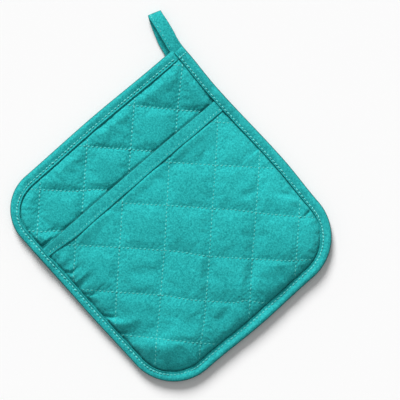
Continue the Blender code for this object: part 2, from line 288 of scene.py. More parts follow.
@dataclass(frozen=True)
class Quilting:
    """Diagonal sewn channels in two families, and the puffed diamonds between them."""

    pitch: float
    rising_phase: float
    falling_phase: float
    bends: Tuple[Bend, ...] = ()
    stitch_pitch: float = 3.15
    valley: float = 3.6
    pucker_height: float = 0.30
    gather_height: float = 0.34
    seed: int = 3

    def coordinates(self, family: Family, x: Array, y: Array) -> Tuple[Array, Array]:
        """Place across and along the lines of a family.

        Args:
            family: Direction of the lines.
            x: Pattern x of the places.
            y: Pattern y of the places.

        Returns:
            Millimetres across and along the lines.
        """
        falling = (x + y) / DIAGONAL
        rising = (x - y) / DIAGONAL
        if family is Family.RISING:
            return rising - self.rising_phase, falling
        return falling - self.falling_phase, rising

    def wander(self, index: Array, along: Array, family: Family) -> Array:
        """Small sideways drift of a sewn line from its straight mark.

        Args:
            index: Number of the line at each place.
            along: Places along the lines.
            family: Direction of the lines.

        Returns:
            Millimetres of drift at each place.
        """
        seed = self.seed + (7 if family is Family.RISING else 8)
        total = 0.3 * value_noise(along, index * 131.0, 30.0, seed)
        for line in {bend.line for bend in self.bends if bend.family is family}:
            rows = [bend for bend in self.bends if bend.family is family and bend.line == line]
            drift = np.full(np.shape(along), rows[0].drift)
            for before, after in zip(rows, rows[1:]):
                drift = drift + (after.drift - before.drift) * ease(along, before.along, after.along)
            total = total + np.where(index == line, drift, 0.0)
        return total

    def distance(self, family: Family, x: Array, y: Array) -> Tuple[Array, Array, Array]:
        """Signed distance to the nearest line, the line's index and the place along it.

        Args:
            family: Direction of the lines.
            x: Pattern x of the places.
            y: Pattern y of the places.

        Returns:
            Distances, line numbers and places along.
        """
        across, along = self.coordinates(family, x, y)
        index = np.round(across / self.pitch)
        return across - index * self.pitch - self.wander(index, along, family), index, along

    def pillow(self, x: Array, y: Array) -> Array:
        """0 in a sewn channel, about 1 in the middle of a diamond.

        Args:
            x: Pattern x of the places.
            y: Pattern y of the places.

        Returns:
            Fullness of the quilting at each place.
        """
        total = np.ones(np.shape(x))
        for family in Family:
            away, _, _ = self.distance(family, x, y)
            total = total * (1.0 - np.exp(-np.abs(away) / self.valley))
        return total / (1.0 - math.exp(-0.5 * self.pitch / self.valley)) ** 2

    def puckers(self, x: Array, y: Array) -> Array:
        """Small slanted wrinkles that the stitches draw in beside each channel.

        Args:
            x: Pattern x of the places.
            y: Pattern y of the places.

        Returns:
            Height to add at each place.
        """
        total = np.zeros(np.shape(x))
        for number, family in enumerate(Family):
            away, index, along = self.distance(family, x, y)
            turn = 2.0 * math.pi * (along - 0.7 * away) / self.stitch_pitch
            near = np.exp(-np.abs(away) / 1.5)
            total -= self.pucker_height * near * np.cos(turn)
            drift = value_noise(along, away * 0.35 + index * 57.0, 5.5, self.seed + number)
            wide = value_noise(along, away * 0.25 + index * 91.0, 13.0, self.seed + 4 + number)
            shoulder = np.exp(-np.abs(away) / 5.5)
            total += self.gather_height * shoulder * (drift + 0.8 * wide)
        return total


@dataclass(frozen=True)
class Fold:
    """A soft ridge, or with a negative height a crease, that starts at a place and dies away."""

    x: float
    y: float
    heading: float
    length: float
    half_width: float
    height: float

    def at(self, x: Array, y: Array) -> Array:
        """Height of the fold at pattern points.

        Args:
            x: Pattern x of the places.
            y: Pattern y of the places.

        Returns:
            Height to add at each place.
        """
        turn = math.radians(self.heading)
        along = (x - self.x) * math.cos(turn) + (y - self.y) * math.sin(turn)
        across = (y - self.y) * math.cos(turn) - (x - self.x) * math.sin(turn)
        across = across + 0.12 * self.half_width * np.sin(along / 4.5)
        fading = ease(along, -0.35 * self.length, 0.0) * (1.0 - ease(along, 0.2 * self.length, self.length))
        width = self.half_width * (0.7 + 0.5 * ease(along, 0.0, self.length))
        return self.height * np.exp(-((across / width) ** 2)) * fading


@dataclass(frozen=True)
class TapeSide:
    """How the edge tape shows along one side of the pad. Millimetres."""

    side: Side
    width: float
    stitch_in: float
    pocket_swell: float
    body_swell: float
    tilt: float


@dataclass(frozen=True)
class Layers:
    """Heights of the pad's layers, pressed thin in the edge and full in the field. Millimetres."""

    pattern: PadPattern
    gap: float = 0.3
    tape: float = 1.0
    edge_width: float = 8.7
    edge_height: float = 6.7
    tuck: float = 3.9
    mouth_bump: float = 1.3
    back_top: float = 2.4
    body_edge_top: float = 3.9
    body_edge_top_free: float = 5.4
    body_channel_top: float = 4.9
    body_puff_top: float = 6.7
    pocket_mouth_y: float = 49.5
    pocket_edge: float = 1.2
    pocket_channel: float = 1.6
    pocket_puff: float = 2.6
    hand_room: float = 4.9
    mouth_room: float = 1.0
    mouth_dip: float = 0.9
    mouth_tape_width: float = 9.9
    mouth_tape_pressed: float = 0.7
    mouth_ramp: float = 9.0
    body_quilting: Quilting = Quilting(33.5, -2.2, 20.7, pucker_height=0.20, gather_height=0.26,
                                       seed=11, bends=(
        # family, line, place along it, drift
        Bend(Family.FALLING, -1, -100.0, 0.0),
        Bend(Family.FALLING, -1, -85.0, 1.5),
        Bend(Family.FALLING, 0, -82.0, -1.6),
        Bend(Family.FALLING, 0, -57.0, 1.1),
    ))
    pocket_quilting: Quilting = Quilting(33.5, -5.8, 13.0, pucker_height=0.13, gather_height=0.20,
                                         seed=23, bends=(
        # family, line, place along it, drift
        Bend(Family.RISING, 0, -97.0, -1.6),
        Bend(Family.RISING, 0, -60.0, -0.7),
        Bend(Family.RISING, 0, 0.0, 0.0),
        Bend(Family.RISING, 1, -97.0, -1.6),
        Bend(Family.RISING, 1, -70.0, 0.0),
        Bend(Family.RISING, 1, 57.0, 0.6),
        Bend(Family.FALLING, -3, -22.0, -1.0),
        Bend(Family.FALLING, -3, 9.0, -2.2),
        Bend(Family.FALLING, -3, 20.0, -3.1),
        Bend(Family.FALLING, -2, -57.0, -1.4),
        Bend(Family.FALLING, -2, -5.0, -1.8),
        Bend(Family.FALLING, -2, 18.0, -3.7),
        Bend(Family.FALLING, -2, 47.0, -3.4),
        Bend(Family.FALLING, -2, 59.0, -0.8),
        Bend(Family.FALLING, -2, 71.0, -1.8),
        Bend(Family.FALLING, -1, 0.0, -0.9),
        Bend(Family.FALLING, -1, 29.0, -2.8),
        Bend(Family.FALLING, -1, 84.0, -2.6),
        Bend(Family.FALLING, -1, 108.0, -0.4),
        Bend(Family.FALLING, 0, 40.0, 0.0),
        Bend(Family.FALLING, 0, 68.0, -1.3),
    ))
    folds: Tuple[Fold, ...] = (
        # x, y, heading, length, half width, height
        Fold(-88.0, -25.0, -42.0, 32.0, 4.6, 2.2),
        Fold(-88.0, -17.5, -46.0, 17.0, 1.5, -2.0),
        Fold(-88.0, -35.0, -42.0, 12.0, 1.4, -1.7),
        Fold(-88.0, -50.0, -38.0, 24.0, 6.5, 1.4),
        Fold(-87.0, 26.0, -38.0, 8.0, 1.5, -1.6),
        Fold(-83.0, 22.0, 4.0, 14.0, 1.6, -1.2),
        Fold(-82.0, 29.0, 20.0, 20.0, 6.0, -0.9),
        Fold(-88.0, 15.0, -1.0, 22.0, 1.6, 0.9),
        Fold(-88.0, 10.5, 1.0, 22.0, 3.0, -1.0),
        Fold(-88.0, 4.5, -38.0, 16.0, 1.7, -1.1),
        Fold(88.0, -58.0, 124.0, 36.0, 6.0, 1.6),
        Fold(86.0, -50.0, 126.0, 34.0, 2.6, -1.3),
        Fold(86.0, -61.0, 188.0, 13.0, 1.5, -1.5),
        Fold(22.0, -66.0, 45.0, 46.0, 5.0, -1.1),
        Fold(50.0, 23.0, 32.0, 22.0, 6.0, -1.0),
        Fold(-46.0, -10.0, -42.0, 24.0, 6.0, -1.0),
        Fold(56.0, -20.0, -14.0, 20.0, 5.0, -1.0),
        Fold(-22.0, -78.0, 12.0, 26.0, 5.0, -1.1),
        Fold(-8.0, -46.0, 30.0, 20.0, 5.0, -0.8),
        Fold(-74.0, -62.0, -30.0, 46.0, 13.0, 4.0),
        Fold(-18.0, -50.0, 47.0, 72.0, 6.5, 1.0),
        Fold(8.0, -68.0, 47.0, 64.0, 6.0, 1.1),
        Fold(-76.0, -84.0, -45.0, 26.0, 9.0, -1.3),
    )
    mouth_slit: Fold = Fold(-87.0, 53.0, -6.0, 15.0, 1.1, -1.5)
    sides: Tuple[TapeSide, ...] = (
        # side, visible width, stitch row in, swell of the pocket and of the body, outward fall
        TapeSide(Side.LEFT, 6.7, 2.1, 2.6, 1.2, 0.30),
        TapeSide(Side.RIGHT, 8.3, 1.5, 1.2, 0.8, 0.04),
        TapeSide(Side.TOP, 8.7, 2.4, 1.0, 1.2, 0.0),
        TapeSide(Side.FOOT, 8.4, 2.3, 3.6, 1.0, -0.15),
    )

    def by_side(self, name: str, out_x: Array, out_y: Array) -> Array:
        """A size of the edge tape, eased from side to side round the corners.

        Args:
            name: Name of the size in the table of sides.
            out_x: Outward direction's x.
            out_y: Outward direction's y.

        Returns:
            The size at each direction.
        """
        share = {Side.LEFT: np.minimum(out_x, 0.0), Side.RIGHT: np.maximum(out_x, 0.0),
                 Side.TOP: np.maximum(out_y, 0.0), Side.FOOT: np.minimum(out_y, 0.0)}
        return sum(getattr(row, name) * share[row.side] ** 2 for row in self.sides)

    def inside_tape(self, x: Array, y: Array) -> Array:
        """Distance of pattern points in from the edge tape's inner edge."""
        return self.pattern.inset(x, y) - self.by_side("width", *self.pattern.facing(x, y))

    @property
    def mouth_top(self) -> float:
        """Y of the outer side of the mouth tape's fold."""
        return self.pocket_mouth_y + self.gap + self.tape

    def hem(self, x: Array) -> Array:
        """Y of the mouth tape's lower edge, drawn up a little where the left side holds it."""
        return self.mouth_top - self.mouth_tape_width + 2.4 * (1.0 - ease(x, -88.0, -60.0))

    def near_mouth(self, y: Array) -> Array:
        """1 where the mouth tape lies, easing to 0 on both sides of it.

        Args:
            y: Pattern y of the places.

        Returns:
            Share of the mouth tape at each place.
        """
        bottom = self.mouth_top - self.mouth_tape_width
        rising = ease(y, bottom - self.mouth_ramp, bottom - 2.0)
        return rising * (1.0 - ease(y, self.mouth_top + 2.0, self.mouth_top + self.mouth_ramp))

    def pressed_body_top(self, y: Array) -> Array:
        """Top of the front panel where the edge tape presses it.

        Args:
            y: Pattern y of the places.

        Returns:
            Height at each place.
        """
        pressed = self.body_edge_top - self.gap * self.near_mouth(y)
        free = ease(y, self.pocket_mouth_y + 5.0, self.pocket_mouth_y + 14.0)
        return blend(pressed, self.body_edge_top_free, free)

    def field(self, x: Array, y: Array) -> Array:
        """0 under the edge tape, 1 in the open field of the pad."""
        return ease(self.inside_tape(x, y), 0.0, 20.0)

    def swell(self, name: str, x: Array, y: Array, reach: float) -> Array:
        """Steep rise of the cloth just inside the edge tape, above the smooth field.

        Args:
            name: Name of the swell in the table of sides.
            x: Pattern x of the places.
            y: Pattern y of the places.
            reach: Where the rise has died away, in from the tape.

        Returns:
            Height to add at each place.
        """
        away = np.maximum(self.inside_tape(x, y) - 0.5, 0.0)
        height = self.by_side(name, *self.pattern.facing(x, y))
        return height * (1.0 - np.exp(-away / 1.5)) * (1.0 - ease(away, 3.0, reach))

    def crevice(self, x: Array, y: Array) -> Array:
        """Narrow groove that the edge seam pulls into the cloth right beside the tape."""
        return -0.9 * np.exp(-(((self.inside_tape(x, y) - 0.45) / 0.6) ** 2))

    def edge_gathers(self, x: Array, y: Array, seed: int) -> Array:
        """Gathers that the edge seam draws into the cloth beside it, 1 at their highest.

        Args:
            x: Pattern x of the places.
            y: Pattern y of the places.
            seed: Picks one set of gathers.

        Returns:
            Share of the full height at each place.
        """
        away = self.inside_tape(x, y)
        along = self.pattern.along_edge(x, y)
        fine = value_noise(along, away * 0.12, 3.6, seed)
        wide = value_noise(along, away * 0.15, 10.0, seed + 1)
        fading = 0.55 * fine * np.exp(-np.abs(away) / 5.0) + 0.75 * wide * np.exp(-np.abs(away) / 11.0)
        return fading * ease(away, -0.5, 1.5)

    def body_top(self, x: Array, y: Array) -> Array:
        """Upper surface of the quilted front panel.

        Args:
            x: Pattern x of the places.
            y: Pattern y of the places.

        Returns:
            Height at each place.
        """
        full = ease(self.inside_tape(x, y), 0.0, 7.0)
        pillow = self.body_quilting.pillow(x, y)
        quilted = blend(self.body_channel_top, self.body_puff_top, pillow)
        quilted = quilted + self.body_quilting.puckers(x, y)
        quilted = quilted + 0.35 * value_noise(x, y, 24.0, 31)
        quilted = quilted - self.mouth_dip * (1.0 - ease(y, self.mouth_top - 0.4, self.mouth_top + 2.0))
        top = blend(self.pressed_body_top(y), quilted, full) + self.mouth_slit.at(x, y)
        risen = self.swell("body_swell", x, y, 16.0) + 0.6 * self.edge_gathers(x, y, 41)
        return top + risen * ease(y, self.mouth_top + 0.3, self.mouth_top + 4.0) + self.crevice(x, y)

    def body_envelope(self, x: Array, y: Array) -> Array:
        """Smooth surface over the tops of the front panel's diamonds."""
        return blend(self.pressed_body_top(y), 6.6, self.field(x, y))

    def pocket_underside(self, x: Array, y: Array) -> Array:
        """Lower surface of the pocket panel, before its quilting.

        Args:
            x: Pattern x of the places.
            y: Pattern y of the places.

        Returns:
            Height at each place.
        """
        away = self.inside_tape(x, y)
        room = self.hand_room * ease(away, 0.0, 34.0)
        room = room + 2.4 * ease(y, -97.0, 0.0) * (1.0 - ease(y, 6.0, 42.0)) * ease(away, 0.0, 50.0)
        free = 1.0 - self.near_mouth(y)
        folds = sum(fold.at(x, y) for fold in self.folds) * ease(away, 0.0, 2.5)
        slack = 0.55 * value_noise(x, y, 27.0, 51) * ease(away, 8.0, 24.0)
        slack = slack + 0.22 * value_noise(x, y, 11.0, 52) * ease(away, 2.0, 10.0)
        slack = slack * (1.0 - ease(y, 30.0, 42.0))
        lifted = self.body_envelope(x, y) + self.gap + self.mouth_room * self.near_mouth(y)
        return lifted + room + self.swell("pocket_swell", x, y, 30.0) * free + folds + slack

    def pocket_top(self, x: Array, y: Array) -> Array:
        """Upper surface of the pocket panel, with its quilting, puckers and gathers.

        Args:
            x: Pattern x of the places.
            y: Pattern y of the places.

        Returns:
            Height at each place.
        """
        away = self.inside_tape(x, y)
        mouth = self.near_mouth(y)
        full = ease(away, 0.0, 7.0)
        pressed = self.pocket_edge - 0.4 * mouth
        pillow = self.pocket_quilting.pillow(x, y)
        quilted = blend(self.pocket_channel, self.pocket_puff, pillow)
        quilted = quilted + self.pocket_quilting.puckers(x, y)
        hem = self.hem(x)
        flat = ease(y, hem - 1.5, hem + 3.9)
        quilted = blend(quilted, 1.7, flat)
        thickness = blend(pressed, quilted, full)
        gathers = (0.9 * self.edge_gathers(x, y, 43) + self.crevice(x, y)) * (1.0 - flat)
        seam = -0.65 * np.exp(-(((y - hem + 0.7) / 0.6) ** 2)) * full
        return self.pocket_underside(x, y) + thickness + gathers + seam


@dataclass(frozen=True)
class PanelGrid:
    """Grid of cross rows that spans the pad inside its edge tape."""

    pattern: PadPattern
    margin: float
    columns: int
    heights: Tuple[float, ...]

    @staticmethod
    def rows(low: float, high: float, low_radius: float, high_radius: float,
             spacing: Callable[[float], float]) -> Tuple[float, ...]:
        """Heights of the rows, closer together where an edge turns into a corner.

        Args:
            low: Height of the first row.
            high: Height of the last row.
            low_radius: Radius of the corners at the low end, or 0.
            high_radius: Radius of the corners at the high end, or 0.
            spacing: Row spacing wanted at a height.

        Returns:
            The heights in rising order.
        """
        heights = [low]
        while heights[-1] < high:
            y = heights[-1]
            step = spacing(y)
            if low_radius > 0.0 and y < low + low_radius:
                step = min(step, 0.12 + 0.16 * math.sqrt(max(y - low, 0.0)))
            if high_radius > 0.0 and y > high - high_radius:
                step = min(step, 0.12 + 0.16 * math.sqrt(max(high - y, 0.0)))
            heights.append(y + step)
        heights[-1] = high
        return tuple(heights)

    def points(self) -> Tuple[Array, Array]:
        """Pattern x and y of every grid point, rows first.

        Returns:
            Two arrays, rows by columns.
        """
        y = np.array(self.heights)
        left = self.pattern.side_x(-1.0, y, self.margin)
        right = self.pattern.side_x(1.0, y, self.margin)
        share = np.linspace(0.0, 1.0, self.columns + 1)
        x = left[:, None] + (right - left)[:, None] * share[None, :]
        return x, np.repeat(y[:, None], self.columns + 1, axis=1)


@dataclass
class MeshMaker:
    """Turns grids and swept sections into closed meshes that ride on the part."""

    collection: bpy.types.Collection

    def make(self, name: str, points: Array, faces: List[Sequence[int]]) -> bpy.types.Object:
        """A smooth mesh object from points in millimetres.

        Args:
            name: Name of the piece.
            points: Vertex places, one row each.
            faces: Vertex numbers of each face.

        Returns:
            The new object, riding on the part.
        """
        data = bpy.data.meshes.new(name)
        data.from_pydata((points * MM).tolist(), [], faces)
        data.validate()
        mesh = bmesh.new()
        mesh.from_mesh(data)
        bmesh.ops.recalc_face_normals(mesh, faces=mesh.faces[:])
        mesh.to_mesh(data)
        mesh.free()
        data.shade_smooth()
        piece = bpy.data.objects.new(name, data)
        self.collection.objects.link(piece)
        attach(piece, "root")
        return piece

    def sheet(self, name: str, upper: Array, lower: Array, stride: int = 3) -> bpy.types.Object:
        """A closed piece between two surfaces given on the same grid, its underside coarser.

        Args:
            name: Name of the piece.
            upper: Upper points, rows by columns by 3.
            lower: Lower points on the same grid.
            stride: How many grid steps make one of the underside's.

        Returns:
            The new object.
        """
        rows, columns = upper.shape[:2]
        kept_rows, kept_columns = self.thinned(rows, stride), self.thinned(columns, stride)
        under = lower[np.ix_(kept_rows, kept_columns)]
        number = np.arange(rows * columns).reshape(rows, columns)
        below = np.arange(under.shape[0] * under.shape[1]).reshape(under.shape[:2]) + number.size
        faces = self.quads(number).tolist() + self.quads(below)[:, ::-1].tolist()
        strips = ((number[0], below[0], kept_columns), (number[:, -1], below[:, -1], kept_rows),
                  (number[-1], below[-1], kept_columns), (number[:, 0], below[:, 0], kept_rows))
        for above, beneath, kept in strips:
            for first, (start, end) in enumerate(zip(kept, kept[1:])):
                faces.append(above[start:end + 1].tolist() + [int(beneath[first + 1]), int(beneath[first])])
        return self.make(name, np.concatenate([upper.reshape(-1, 3), under.reshape(-1, 3)]), faces)

    @staticmethod
    def in_order(mesh: bmesh.types.BMesh) -> Tuple[Array, List[List[int]]]:
        """Points and faces of a mesh in an order that is the same on every run.

        Args:
            mesh: The mesh, whose own order may vary.

        Returns:
            The points in metres, and the vertex numbers of each face. A triangle's lowest comes
            first; a larger face keeps its first corner, which decides how it is split.
        """
        mesh.verts.index_update()
        places = np.array([vertex.co[:] for vertex in mesh.verts])
        order = np.lexsort(places.T)
        number = np.empty(len(order), int)
        number[order] = np.arange(len(order))
        faces = []
        for face in mesh.faces:
            corners = number[[vertex.index for vertex in face.verts]].tolist()
            first = corners.index(min(corners)) if len(corners) == 3 else 0
            faces.append(corners[first:] + corners[:first])
        return places[order], sorted(faces)

    @staticmethod
    def thinned(count: int, stride: int) -> List[int]:
        """Every stride-th number below count, and always the last."""
        kept = list(range(0, count - 1, stride))
        return kept + [count - 1]

    @staticmethod
    def quads(number: Array) -> Array:
        """Faces between neighbouring points of a numbered grid."""
        corners = [number[:-1, :-1], number[:-1, 1:], number[1:, 1:], number[1:, :-1]]
        return np.stack(corners, -1).reshape(-1, 4)

    def sweep(self, name: str, sections: Array) -> bpy.types.Object:
        """A closed piece swept through closed sections, capped at both ends.

        Args:
            name: Name of the piece.
            sections: Stations by section points by 3.

        Returns:
            The new object.
        """
        stations, around = sections.shape[:2]
        number = np.arange(stations * around).reshape(stations, around)
        after = np.roll(number, -1, axis=1)
        quads = np.stack([number[:-1], after[:-1], after[1:], number[1:]], -1).reshape(-1, 4)
        caps = [number[0, ::-1].tolist(), number[-1].tolist()]
        return self.make(name, sections.reshape(-1, 3), quads.tolist() + caps)


@dataclass(frozen=True)
class SewnClothRun:
    """Short cloth simulation of a quilted skin that is held by its stitches and its edge."""

    frames: int = 20
    growth: float = 0.018
    pressure: float = 2.0
    most_moved: float = 1.8
    stride: int = 2
    scale: float = 0.01              # scene units for each millimetre, while it runs
    quality: int = 6
    stretch_stiffness: float = 20.0
    shear_stiffness: float = 8.0
    bending_stiffness: float = 0.5

    def relax(self, points: Array, held: Array) -> Array:
        """Lets the skin billow and wrinkle between its stitches.

        Args:
            points: Rows by columns of places in millimetres.
            held: 1 where the skin is sewn down, 0 where it is free.

        Returns:
            How far each point moves, in millimetres.
        """
        rows = MeshMaker.thinned(points.shape[0], self.stride)
        columns = MeshMaker.thinned(points.shape[1], self.stride)
        start = points[np.ix_(rows, columns)]
        skin = self.skin(start, held[np.ix_(rows, columns)])
        moved = self.run(skin).reshape(start.shape) / self.scale - start
        length = np.linalg.norm(moved, axis=-1, keepdims=True)
        moved = moved * np.minimum(1.0, self.most_moved / np.maximum(length, 1e-9))
        bpy.data.objects.remove(skin)
        return self.spread(moved, rows, columns, points.shape)

    def skin(self, points: Array, held: Array) -> bpy.types.Object:
        """Open mesh of the skin with its cloth settings and its sewn points pinned.

        Args:
            points: Places in millimetres, rows by columns by 3.
            held: How firmly each point is sewn down, from 0 to 1.

        Returns:
            The skin, ready to run.
        """
        data = bpy.data.meshes.new("skin")
        numbers = np.arange(held.size).reshape(held.shape)
        places = (points.reshape(-1, 3) * self.scale).tolist()
        data.from_pydata(places, [], MeshMaker.quads(numbers).tolist())
        skin = bpy.data.objects.new("skin", data)
        bpy.context.scene.collection.objects.link(skin)
        sewn = skin.vertex_groups.new(name="sewn")
        for number, weight in enumerate(held.reshape(-1).tolist()):
            if weight > 0.0:
                sewn.add([number], weight, "REPLACE")
        cloth = skin.modifiers.new("cloth", "CLOTH")
        settings = cloth.settings
        settings.vertex_group_mass = "sewn"
        settings.quality = self.quality
        settings.shrink_min = -self.growth
        settings.use_pressure = True
        settings.uniform_pressure_force = self.pressure
        settings.tension_stiffness = self.stretch_stiffness
        settings.compression_stiffness = self.stretch_stiffness
        settings.shear_stiffness = self.shear_stiffness
        settings.bending_stiffness = self.bending_stiffness
        settings.effector_weights.gravity = 0.0
        cloth.collision_settings.use_collision = False
        cloth.point_cache.frame_start = 1
        cloth.point_cache.frame_end = self.frames
        return skin

    def run(self, skin: bpy.types.Object) -> Array:
        """Steps the simulation and reads where the points come to rest.

        Args:
            skin: Mesh with its cloth settings.

        Returns:
            Coordinates of the settled points, one after another.
        """
        scene = bpy.context.scene
        for number in range(1, self.frames + 1):
            scene.frame_set(number)
        settled = skin.evaluated_get(bpy.context.evaluated_depsgraph_get()).data
        places = np.empty(len(settled.vertices) * 3)
        settled.vertices.foreach_get("co", places)
        scene.frame_set(1)
        return places

    @staticmethod
    def spread(moved: Array, rows: List[int], columns: List[int], shape: Tuple[int, ...]) -> Array:
        """Coarse moves drawn out smoothly to the full grid.

        Args:
            moved: Moves of the coarse points.
            rows: Full rows that the coarse rows stand for.
            columns: Full columns that the coarse columns stand for.
            shape: Shape of the full grid.

        Returns:
            Moves of every point of the full grid.
        """
        result = np.empty(shape)
        for axis in range(3):
            wide = np.stack([np.interp(np.arange(shape[1]), columns, row) for row in moved[..., axis]])
            tall = [np.interp(np.arange(shape[0]), rows, wide[:, column]) for column in range(shape[1])]
            result[..., axis] = np.stack(tall, axis=1)
        return result


@dataclass(frozen=True)
class Stitch:
    """One visible thread float: rises out of the cloth, runs along it and dives back."""

    length: float = 1.9
    radius: float = 0.36
    arch: float = 0.30
    sink: float = 0.30
    slant: float = 0.22
    rings: int = 6
    sides: int = 8

    def shape(self) -> Tuple[Array, List[List[int]]]:
        """Points and faces of one stitch along +X, with the cloth's surface at z = 0.

        Returns:
            The points, one row each, and the vertex numbers of each face.
        """
        turns = np.linspace(0.0, 2.0 * math.pi, self.sides, endpoint=False)
        stations = np.linspace(-1.0, 1.0, self.rings)
        points = []
        for place in stations:
            girth = self.radius * math.sqrt(max(1.0 - 0.82 * abs(place) ** 3.0, 0.05))
            height = self.arch * (1.0 - place * place) - self.sink * place * place
            for turn in turns:
                points.append((0.5 * self.length * place, girth * math.cos(turn),
                               height + 0.8 * girth * math.sin(turn)))
        faces = []
        for ring in range(self.rings - 1):
            for side in range(self.sides):
                after = (side + 1) % self.sides
                first, second = ring * self.sides, (ring + 1) * self.sides
                faces.append([first + side, first + after, second + after, second + side])
        faces.append(list(range(self.sides))[::-1])
        faces.append([(self.rings - 1) * self.sides + side for side in range(self.sides)])
        return np.array(points), faces


@dataclass
class StitchRow:
    """Many stitches that share one thread, gathered into one piece."""

    stitch: Stitch
    seed: int
    centres: List[Array] = field(default_factory=list)
    ahead: List[Array] = field(default_factory=list)
    up: List[Array] = field(default_factory=list)

    def add(self, centres: Array, ahead: Array, up: Array) -> None:
        """Adds stitches by their centres, running directions and surface normals.

        Args:
            centres: Centres of the stitches.
            ahead: Running directions.
            up: Surface normals.
        """
        self.centres.append(centres.reshape(-1, 3))
        self.ahead.append(ahead.reshape(-1, 3))
        self.up.append(up.reshape(-1, 3))

    def build(self, maker: MeshMaker, name: str) -> bpy.types.Object:
        """One mesh that holds every stitch of the row.

        Args:
            maker: Mesh maker.
            name: Name of the piece.

        Returns:
            The new object.
        """
        centres = np.concatenate(self.centres)
        ahead = np.concatenate(self.ahead)
        up = np.concatenate(self.up)
        ahead = ahead / np.linalg.norm(ahead, axis=1, keepdims=True)
        across = np.cross(up, ahead)
        across = across / np.linalg.norm(across, axis=1, keepdims=True)
        up = np.cross(ahead, across)
        random = np.random.default_rng(self.seed)
        slew = random.normal(self.stitch.slant, 0.14, len(centres))[:, None]
        swell = random.uniform(0.78, 1.14, len(centres))[:, None, None]
        ahead, across = ahead + slew * across, across - slew * ahead
        shape, faces = self.stitch.shape()
        placed = (shape[None, :, 0, None] * ahead[:, None] + shape[None, :, 1, None] * across[:, None]
                  + shape[None, :, 2, None] * up[:, None]) * swell + centres[:, None]
        numbers = np.arange(len(centres))[:, None] * len(shape)
        every = [[corner + first for corner in face] for first in numbers[:, 0].tolist() for face in faces]
        return maker.make(name, placed.reshape(-1, 3), every)


def surface_frame(pattern: PadPattern, height: Field, x: Array, y: Array,
                  heading: Tuple[float, float]) -> Tuple[Array, Array, Array]:
    """Places, running directions and normals on a settled height field.

    Args:
        pattern: The pad's pattern.
        height: Height of the surface at pattern points.
        x: Pattern x of the places.
        y: Pattern y of the places.
        heading: Running direction in the pattern.

    Returns:
        Centres, running directions and normals, one row each.
    """
    step = 0.6
    centre = pattern.settle(x, y, height(x, y))
    ahead_x, ahead_y = x + step * heading[0], y + step * heading[1]
    side_x, side_y = x - step * heading[1], y + step * heading[0]
    ahead = pattern.settle(ahead_x, ahead_y, height(ahead_x, ahead_y)) - centre
    side = pattern.settle(side_x, side_y, height(side_x, side_y)) - centre
    return centre, ahead, np.cross(ahead, side)


class NodeTree:
    """Short calls for building a node tree."""

    def __init__(self, tree: bpy.types.NodeTree) -> None:
        """Keeps the tree that the calls work on."""
        self.tree = tree

    def node(self, kind: str, **settings: object) -> bpy.types.Node:
        """A new node with some of its properties set.

        Args:
            kind: Type of the node.
            settings: Properties to set on it.

        Returns:
            The new node.
        """
        made = self.tree.nodes.new(kind)
        for name, value in settings.items():
            setattr(made, name, value)
        return made

    def link(self, source: bpy.types.NodeSocket, target: bpy.types.NodeSocket) -> None:
        """Joins two sockets."""
        self.tree.links.new(source, target)

    def feed(self, value: object, target: bpy.types.NodeSocket) -> None:
        """Joins a socket to the target, or sets a plain value on it.

        Args:
            value: Socket, number or colour.
            target: Input that takes it.
        """
        if isinstance(value, bpy.types.NodeSocket):
            self.link(value, target)
        else:
            target.default_value = value

    def math(self, operation: str, *values: object) -> bpy.types.NodeSocket:
        """Result of a Math node whose inputs are sockets or numbers.

        Args:
            operation: What the node works out.
            values: Its inputs, in order.

        Returns:
            The output socket.
        """
        made = self.node("ShaderNodeMath", operation=operation)
        for socket, value in zip(made.inputs, values):
            self.feed(value, socket)
        return made.outputs[0]

    def mix(self, part: object, first: object, second: object, kind: str = "MIX") -> bpy.types.NodeSocket:
        """Colour mixed from two colours, given as sockets or RGBA values.

        Args:
            part: Share of the second colour.
            first: First colour.
            second: Second colour.
            kind: How the colours are mixed.

        Returns:
            The output socket.
        """
        made = self.node("ShaderNodeMix", data_type="RGBA", blend_type=kind)
        for socket, value in zip((made.inputs[slot] for slot in COLOUR_MIX_INPUTS), (part, first, second)):
            self.feed(value, socket)
        return made.outputs[COLOUR_MIX_OUTPUT]


